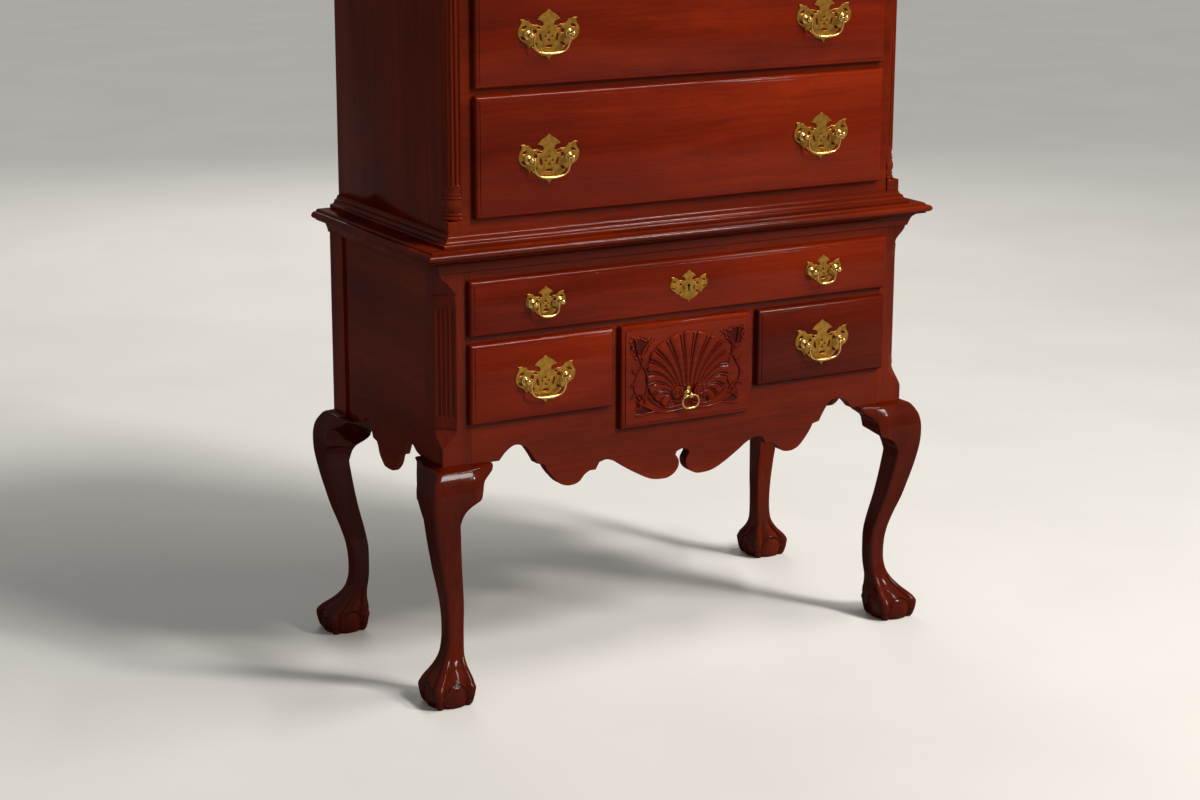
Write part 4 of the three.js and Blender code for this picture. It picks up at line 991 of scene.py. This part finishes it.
def stroke(x, z, path, width):
    """How near each place is to a path, as a share of the width, and how far along it lies."""
    best, along = np.full(x.shape, 9.0), np.zeros(x.shape)
    path = np.asarray(path, float)
    for i, (a, b) in enumerate(zip(path, path[1:])):
        d = b - a
        t = np.clip(((x - a[0]) * d[0] + (z - a[1]) * d[1]) / (d @ d + 1e-9), 0, 1)
        away = np.hypot(x - a[0] - t * d[0], z - a[1] - t * d[1])
        share = (i + t) / (len(path) - 1)
        near = away / width(share)
        closer = near < best
        best, along = np.where(closer, near, best), np.where(closer, share, along)
    return best, along


def leaf(x, z, at, tip, width, height):
    """A pointed leaf with a vein down its middle."""
    a, d = np.array(at, float), np.array(tip, float) - np.array(at, float)
    length = np.hypot(*d)
    u = ((x - a[0]) * d[0] + (z - a[1]) * d[1]) / length
    v = (-(x - a[0]) * d[1] + (z - a[1]) * d[0]) / length
    t = np.clip(u / length, 0, 1)
    half = width * np.sin(math.pi * t ** 0.8) * (1 + 0.12 * np.cos(t * 22)) + 0.01
    near = np.hypot(v / half, np.maximum(np.maximum(-u, u - length), 0) / 2)
    return height * dome(near) * (0.72 + 0.28 * np.minimum(np.abs(v) / 1.1, 1))


HUB_HEIGHT, BELOW_HUB = 489, 40
# The grooves between the shell's ribs on its right half, from the hub out to the rim; the first is the axis
GROOVES = [[(0, 5), (0, 29), (0, 53), (0, 78), (0, 102)],
           [(3, 8), (4.2, 31), (6.6, 54), (9.6, 78), (13.5, 101)],
           [(11, 10), (15.5, 32), (22.5, 53), (31, 73), (41, 92.5)],
           [(17.5, 11.5), (25.5, 31), (37, 50), (51, 66), (66, 79)],
           [(23, 11.5), (33, 28), (46, 43), (61, 55), (76, 61.5)],
           [(28, 10), (38, 23), (51, 33), (65, 39), (80, 40)],
           [(31.5, 7), (43, 15.5), (55, 20.5), (67, 22), (79.5, 19)],
           [(34, 2.5), (43.5, 7), (53, 8), (62.5, 6), (71, .5)],
           [(34.5, -3), (41, -1), (47, -2), (53, -6), (57, -13)],
           [(31, -9), (34, -11), (37, -14), (39, -18), (40, -23)]]
CELL, CARVING_PITCH = 0.5, 0.75

# The foliage on the right half: scrolling stems with their widths, leaves as (tip, root, width), and the
# beaded border of the corner
CURLS = [([(8, 480), (14, 474), (22, 472), (27, 475)], 3),
         ([(33, 476), (40, 480), (47, 479), (52, 475)], 3.4),
         ([(10, 459), (27, 457.5), (50, 458), (64, 461.5), (78, 468), (92, 476), (102, 482)], 2.1),
         ([(10, 467), (30, 464.5), (44, 465.5), (58, 470.5), (70, 478), (78, 487)], 1.9),
         ([(64, 461), (80, 459.5), (94, 457), (102, 456)], 1.9), ([(92, 476), (97, 470), (104, 469)], 1.9),
         ([(84, 480), (88, 488), (97, 494), (103, 495)], 1.8),
         ([(92, 562), (90, 549), (97, 534), (106, 516), (105, 500), (96, 484), (88, 474)], 2),
         ([(99, 562), (93, 549), (84, 534), (80, 516), (82, 500), (90, 485), (97, 477)], 2),
         ([(72, 585), (84, 576), (92, 564), (96, 556)], 1.7), ([(104, 590), (102, 577), (99, 566)], 1.7)]
LEAVES = [((112, 540), (101, 529), 2.6), ((76, 546), (86, 538), 2.6), ((113, 508), (105, 518), 2.6),
          ((74, 512), (81, 503), 2.4), ((112, 488), (103, 496), 2.6), ((78, 478), (88, 478), 2.4)]
BORDER = [(67, 588), (75, 590), (84, 586), (93, 591), (103, 592), (112, 595), (113, 585), (109, 577),
          (112, 569), (106, 562), (103, 555), (97, 561), (91, 563), (86, 569), (79, 574), (75, 581)]


def rib_places(x, z):
    """For places on the right half: which rib they lie on, counted from the axis, and how far along it."""
    curves = np.array([smooth(row, (), 12) for row in GROOVES])
    ahead = (curves[:, -1] - curves[:, -4]) / 3
    beyond = curves[:, -1:] + ahead[:, None] * np.arange(1, 13)[None, :, None]
    curves = np.concatenate([curves, beyond], 1)
    last = 2 * curves[-1] - curves[-2]
    curves = np.concatenate([curves, last[None]])
    rows = np.concatenate([[0], np.arange(len(GROOVES)) + 0.5])
    rib, share = np.linspace(0, rows[-1], 1500), np.linspace(0, 1.25, 620)
    at = np.arange(curves.shape[1]) / (len(GROOVES[0]) - 1) / 12
    spread = np.array([[np.interp(share, at, curve[:, i]) for i in (0, 1)] for curve in curves])
    dense = np.array([[np.interp(rib, rows, spread[:, i, j]) for j in range(len(share))] for i in (0, 1)])
    wide, tall = 240, 320
    column = np.round(dense[0] / CELL).astype(int)
    row = np.round((dense[1] + BELOW_HUB) / CELL).astype(int)
    kept = (column >= 0) & (column < wide) & (row >= 0) & (row < tall)
    cell = (row * wide + column)[kept]
    count = np.bincount(cell, minlength=wide * tall)
    found = []
    for value in np.meshgrid(rib, share):
        total = np.bincount(cell, value[kept], wide * tall)
        found.append(np.where(count > 0, total / np.maximum(count, 1), -9).reshape(tall, wide))
    u, v = np.abs(x) / CELL, (z - HUB_HEIGHT + BELOW_HUB) / CELL
    i, j = np.clip(u.astype(int), 0, wide - 2), np.clip(v.astype(int), 0, tall - 2)
    a, b = np.clip(u - i, 0, 1), np.clip(v - j, 0, 1)
    result = []
    for grid in found:
        corners = [grid[j, i], grid[j, i + 1], grid[j + 1, i], grid[j + 1, i + 1]]
        low, high = (corners[k] * (1 - a) + corners[k + 1] * a for k in (0, 2))
        result.append(np.where(np.min(corners, 0) < -1, -9, low * (1 - b) + high * b))
    return result


def blurred(values, reach):
    """The mean over a square around each place."""
    total = np.zeros(values.shape)
    for axis in (0, 1):
        source = values if axis == 0 else total
        total = sum(np.roll(source, k, axis) for k in range(-reach, reach + 1)) / (2 * reach + 1)
    return total


def shell_relief(x, z):
    """Height of the carving over the field in millimetres, and its painted shade: darker in the grooves, the
    creases and on the sunk ground.
    """
    rib, along = rib_places(x, z)
    x = np.abs(x)
    phase = np.abs(rib - np.round(rib))
    rim = 1 + 0.06 * dome(2 * phase)
    inside = (rib > -1) & (along < rim) & (rib < len(GROOVES) - 1.5)
    main, fillet = dome(phase / 0.37), dome((0.5 - phase) / 0.1)
    high = 1.8 + 2.8 * np.clip(along, 0, 1) ** 1.2
    end = np.sqrt(np.clip((rim - along) / 0.05, 0, 1))
    lip = 0.7 * bell((rim - along - 0.03) / 0.014)
    ribs = high * np.maximum(0.25 + 0.75 * main ** 0.8, 0.25 + 0.35 * fillet) * (0.2 + 0.8 * end) + lip
    relief = np.where(inside, ribs, 0)
    groove = inside * np.clip(1 - 1.25 * np.maximum(main, fillet * 0.8), 0, 1)
    eye_x, eye_z = 23, 488.5
    boss = np.hypot(x - eye_x, z - eye_z) / 12
    foliage = np.where(boss < 1, 2.2 + 2.6 * dome(boss), 0)
    spiral = [(eye_x + r * math.cos(t), eye_z + r * math.sin(t)) for t, r in
              zip(np.linspace(3.6, -7.4, 48), np.linspace(10.5, 2.2, 48))]
    near = stroke(x, z, spiral, lambda s: 2.5 - 0.9 * s)[0]
    foliage = np.where(near < 1, 4.4 + 1.9 * dome(near), foliage)
    for path, width in CURLS:
        near = stroke(x, z, smooth(path, (), 6), lambda s: width * (1 - 0.35 * s))[0]
        foliage = np.maximum(foliage, 2.8 * dome(near))
    for tip, root, width in LEAVES:
        foliage = np.maximum(foliage, leaf(x, z, root, tip, width, 2.6))
    border = smooth(BORDER, (), 4, True)
    near, at = stroke(x, z, np.vstack([border, border[:1]]), lambda s: 2)
    beads = 0.6 + 0.4 * np.cos(at * 2 * math.pi * 22)
    foliage = np.maximum(foliage, 2.6 * dome(near) * beads)
    corner = np.hypot((x - 96) / 19, (z - 577) / 17) < 1
    base = (x > 66) & (x < 102) & (z > 459) & (z < 461 + (x - 62) * 0.52)
    sunk = (corner | base) & (foliage < 0.3)
    relief = np.maximum(relief, foliage)
    # Painted shade: darker in the grooves between the ribs, in a narrow crease round the raised carving, and
    # on the sunk ground with random stipple
    around = blurred((relief > 0.8).astype(float), 2)
    crease = np.clip(around * 1.8, 0, 1) * (relief < 0.5)
    stipple = np.random.default_rng(7).random(x.shape) * sunk
    tone_and_painted_shade = 1 - np.maximum.reduce([0.72 * groove, 0.55 * crease, 0.5 * sunk + 0.25 * stipple])
    return relief - 0.5 * sunk - 0.6 * stipple - 0.3 * groove, tone_and_painted_shade


def build_shell_front():
    """The centre drawer's front with its raised shell, scrolls and leaves."""
    lip, across = lower_openings()["shell"]
    field = field_of(LOWER_FACE)
    xs, zs = (np.linspace(low, high, round((high - low) / CARVING_PITCH) + 1) for low, high in
              ((lip[i] + FIELD_MARGIN, lip[i + 1] - FIELD_MARGIN) for i in (0, 2)))
    x, z = np.meshgrid(xs, zs)
    height, light = shell_relief(x, z)
    points = np.stack([x, field - height, z], -1).reshape(-1, 3)
    index = np.arange(x.size).reshape(x.shape)
    corners = index[:-1, :-1], index[:-1, 1:], index[1:, 1:], index[1:, :-1]
    faces = list(zip(*(corner.ravel() for corner in corners)))
    rim = np.concatenate([index[0, :-1], index[:-1, -1], index[-1, :0:-1], index[:0:-1, 0]])
    behind = points[rim].copy()
    behind[:, 1] = field + 8
    start, count = len(points), len(rim)
    faces += [(rim[i], start + i, start + (i + 1) % count, rim[(i + 1) % count]) for i in range(count)]
    faces.append(tuple(range(start, start + count))[::-1])
    carved = np.vstack([points, behind]), [tuple(int(i) for i in f) for f in faces]
    surround = sunk_frame(drawer_front(lip, across, LOWER_FACE), field)
    shade = np.concatenate([light.ravel(), np.ones(count + len(surround[0]))])
    piece(f"{SHELL}_carved_front", merge(carved, surround), SHELL, "drawer_mahogany", DRAWER_CARVED,
          f"{SHELL}_front", angle=50, shade=shade)


def sunk_frame(front, field):
    """The lipped front with its field set back, to leave room for the carving."""
    points, faces = front
    points = points.copy()
    points[points[:, 1] < field + 0.05, 1] = field + 7
    return points, faces


SMALL_PULL_X, LARGE_PULL_X = 277, 268


def build_drawers():
    large = pull_set("large_pull", LARGE_PLATE, posts=76, drop=30)
    small = pull_set("small_pull", SMALL_PLATE, posts=51, drop=22)
    field = field_of(LOWER_FACE)
    for where, (lip, across) in lower_openings().items():
        name, middle = f"lower_{where}_drawer", (lip[2] + lip[3]) / 2
        build_drawer(name, lip, across, LOWER_FACE)
        if where == "long":
            for tail, x in ("_left", -SMALL_PULL_X), ("_right", SMALL_PULL_X):
                hang_pull(small, name, tail, x, field, middle)
            build_escutcheon(0, field, middle)
        elif where == "shell":
            build_ring_pull(field, middle - 41)
        else:
            hang_pull(large, name, "", (across[0] + across[1]) / 2, field, middle - 2)
    field = field_of(UPPER_FACE)
    for name, (lip, across) in upper_openings().items():
        build_drawer(name, lip, across, UPPER_FACE)
        for tail, x in ("_left", -LARGE_PULL_X), ("_right", LARGE_PULL_X):
            hang_pull(large, name, tail, x, field, (lip[2] + lip[3]) / 2 - 8)


def build_ring_pull(field, z):
    foot = field + PLATE_THICK / 2
    cap = moved(facing_front(lathe([(4.6, 0), (4.6, 2), (3, 4.6), (0.2, 5.4)], 24)), 0, -1, 12)
    knobs = merge(post_shape(0), cap)
    piece(f"{SHELL}_pull_knobs", knobs, SHELL, "brass", BRIGHT, f"{SHELL}_pull_post", at=(0, foot, z))
    body = f"{SHELL}_pull_ring"
    piece(f"{body}_cast", ring_shape(), body, "brass", BRIGHT, body, at=(0, foot - PLATE_THICK - PIVOT, z))


# The room: a pale floor, a small key light and a strip from the right, weak lights from the left and from
# behind, and a low sun


def add_camera():
    data = bpy.data.cameras.new("photo_camera")
    data.sensor_width, data.lens = 36, 74.46
    made = link("photo_camera", data)
    yaw, pitch, roll = (math.radians(a) for a in (29.84, 14.422, 0.155))
    ahead = Vector((math.sin(yaw) * math.cos(pitch), math.cos(yaw) * math.cos(pitch), -math.sin(pitch)))
    level = Vector((math.cos(yaw), -math.sin(yaw), 0))
    right = level * math.cos(roll) + level.cross(ahead) * math.sin(roll)
    made.matrix_world = Matrix((right, right.cross(ahead), -ahead)).transposed().to_4x4()
    made.matrix_world.translation = (-2.1881, -3.745, 1.5357)
    bpy.context.scene.camera = made
    bpy.context.scene.view_settings.view_transform = "Standard"


def add_light(name, kind, at, target, power, colour=(1, 1, 1), **settings):
    data = bpy.data.lights.new(name, kind)
    data.energy, data.color = power, colour
    for key, value in settings.items():
        setattr(data, key, value)
    made = link(name, data)
    aim = Vector(target) - Vector(at)
    made.matrix_world = aim.to_track_quat("-Z", "Y").to_matrix().to_4x4()
    made.matrix_world.translation = at


def add_panel(name, at, target, size, power, colour):
    add_light(name, "AREA", at, target, power, colour, shape="RECTANGLE", size=size[0], size_y=size[1])


def seen_directly(tree):
    """1 for a ray from the camera, a mirror image or glass, and 0 for one that carries light to a surface."""
    path = node(tree, "ShaderNodeLightPath").outputs
    seen = path["Is Camera Ray"]
    for other in "Is Glossy Ray", "Is Transmission Ray":
        seen = node(tree, "ShaderNodeMath", {0: seen, 1: path[other]}, operation="MAXIMUM").outputs[0]
    return seen


def add_world():
    world = bpy.data.worlds.new("studio")
    bpy.context.scene.world = world
    world.use_nodes = True
    tree = world.node_tree
    fill = node(tree, "ShaderNodeBackground", {"Color": (0.9, 0.95, 1, 1), "Strength": 0.2})
    wall = node(tree, "ShaderNodeBackground", {"Color": (0.6, 0.57, 0.51, 1), "Strength": 1.0})
    shaders = {0: seen_directly(tree), 1: fill.outputs[0], 2: wall.outputs[0]}
    mixed = node(tree, "ShaderNodeMixShader", shaders)
    tree.links.new(mixed.outputs[0], tree.nodes["World Output"].inputs["Surface"])


def add_floor():
    points, faces = lathe([(14000, -8), (14000, -1), (13990, 0)], 96)
    mesh = bpy.data.meshes.new("studio_floor")
    mesh.from_pydata(points * MM, [], faces)
    material, tree, shader, where = start_material("pale_floor")
    mottled = cloud(tree, where, 2.0, 3.0)["Fac"]
    tone = ramp(tree, mottled, [(0.3, (0.72, 0.69, 0.64)), (0.7, (0.76, 0.73, 0.68))])
    tone = mix(tree, "MIX", seen_directly(tree), (0.32, 0.27, 0.21, 1), tone)
    feed(tree, shader, {"Base Color": tone, "Roughness": 0.75, "Specular IOR Level": 0.2})
    mesh.materials.append(material)
    link("studio_floor", mesh)


for build in (build_legs, build_lower_case, build_waist, build_upper_case, build_columns, build_crown,
              build_finial, build_drawers, build_shell_front, add_floor, add_world, add_camera):
    build()
add_panel("key", (2.4, -3.6, 3.0), (0, -0.1, 0.9), (0.5, 0.5), 112, (1, 0.97, 0.92))
add_panel("strip", (1.5, -1.0, 3.4), (0, -0.2, 0.7), (1.5, 0.16), 46, (1, 0.97, 0.93))
add_panel("side", (-4.5, -1.5, 2.2), (0, 0, 1), (2, 2.5), 3, (0.95, 0.97, 1))
add_panel("back", (1.6, 4.4, 2.7), (0, 0, 0.9), (2.4, 2), 55, (1, 0.98, 0.95))
add_light("sun", "SUN", (0.4, -0.6, 0.7), (0, 0, 0), 1.5, angle=math.radians(12))

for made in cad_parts.values():
    if not made.data.materials:
        made.data.materials.append(CASE_X)
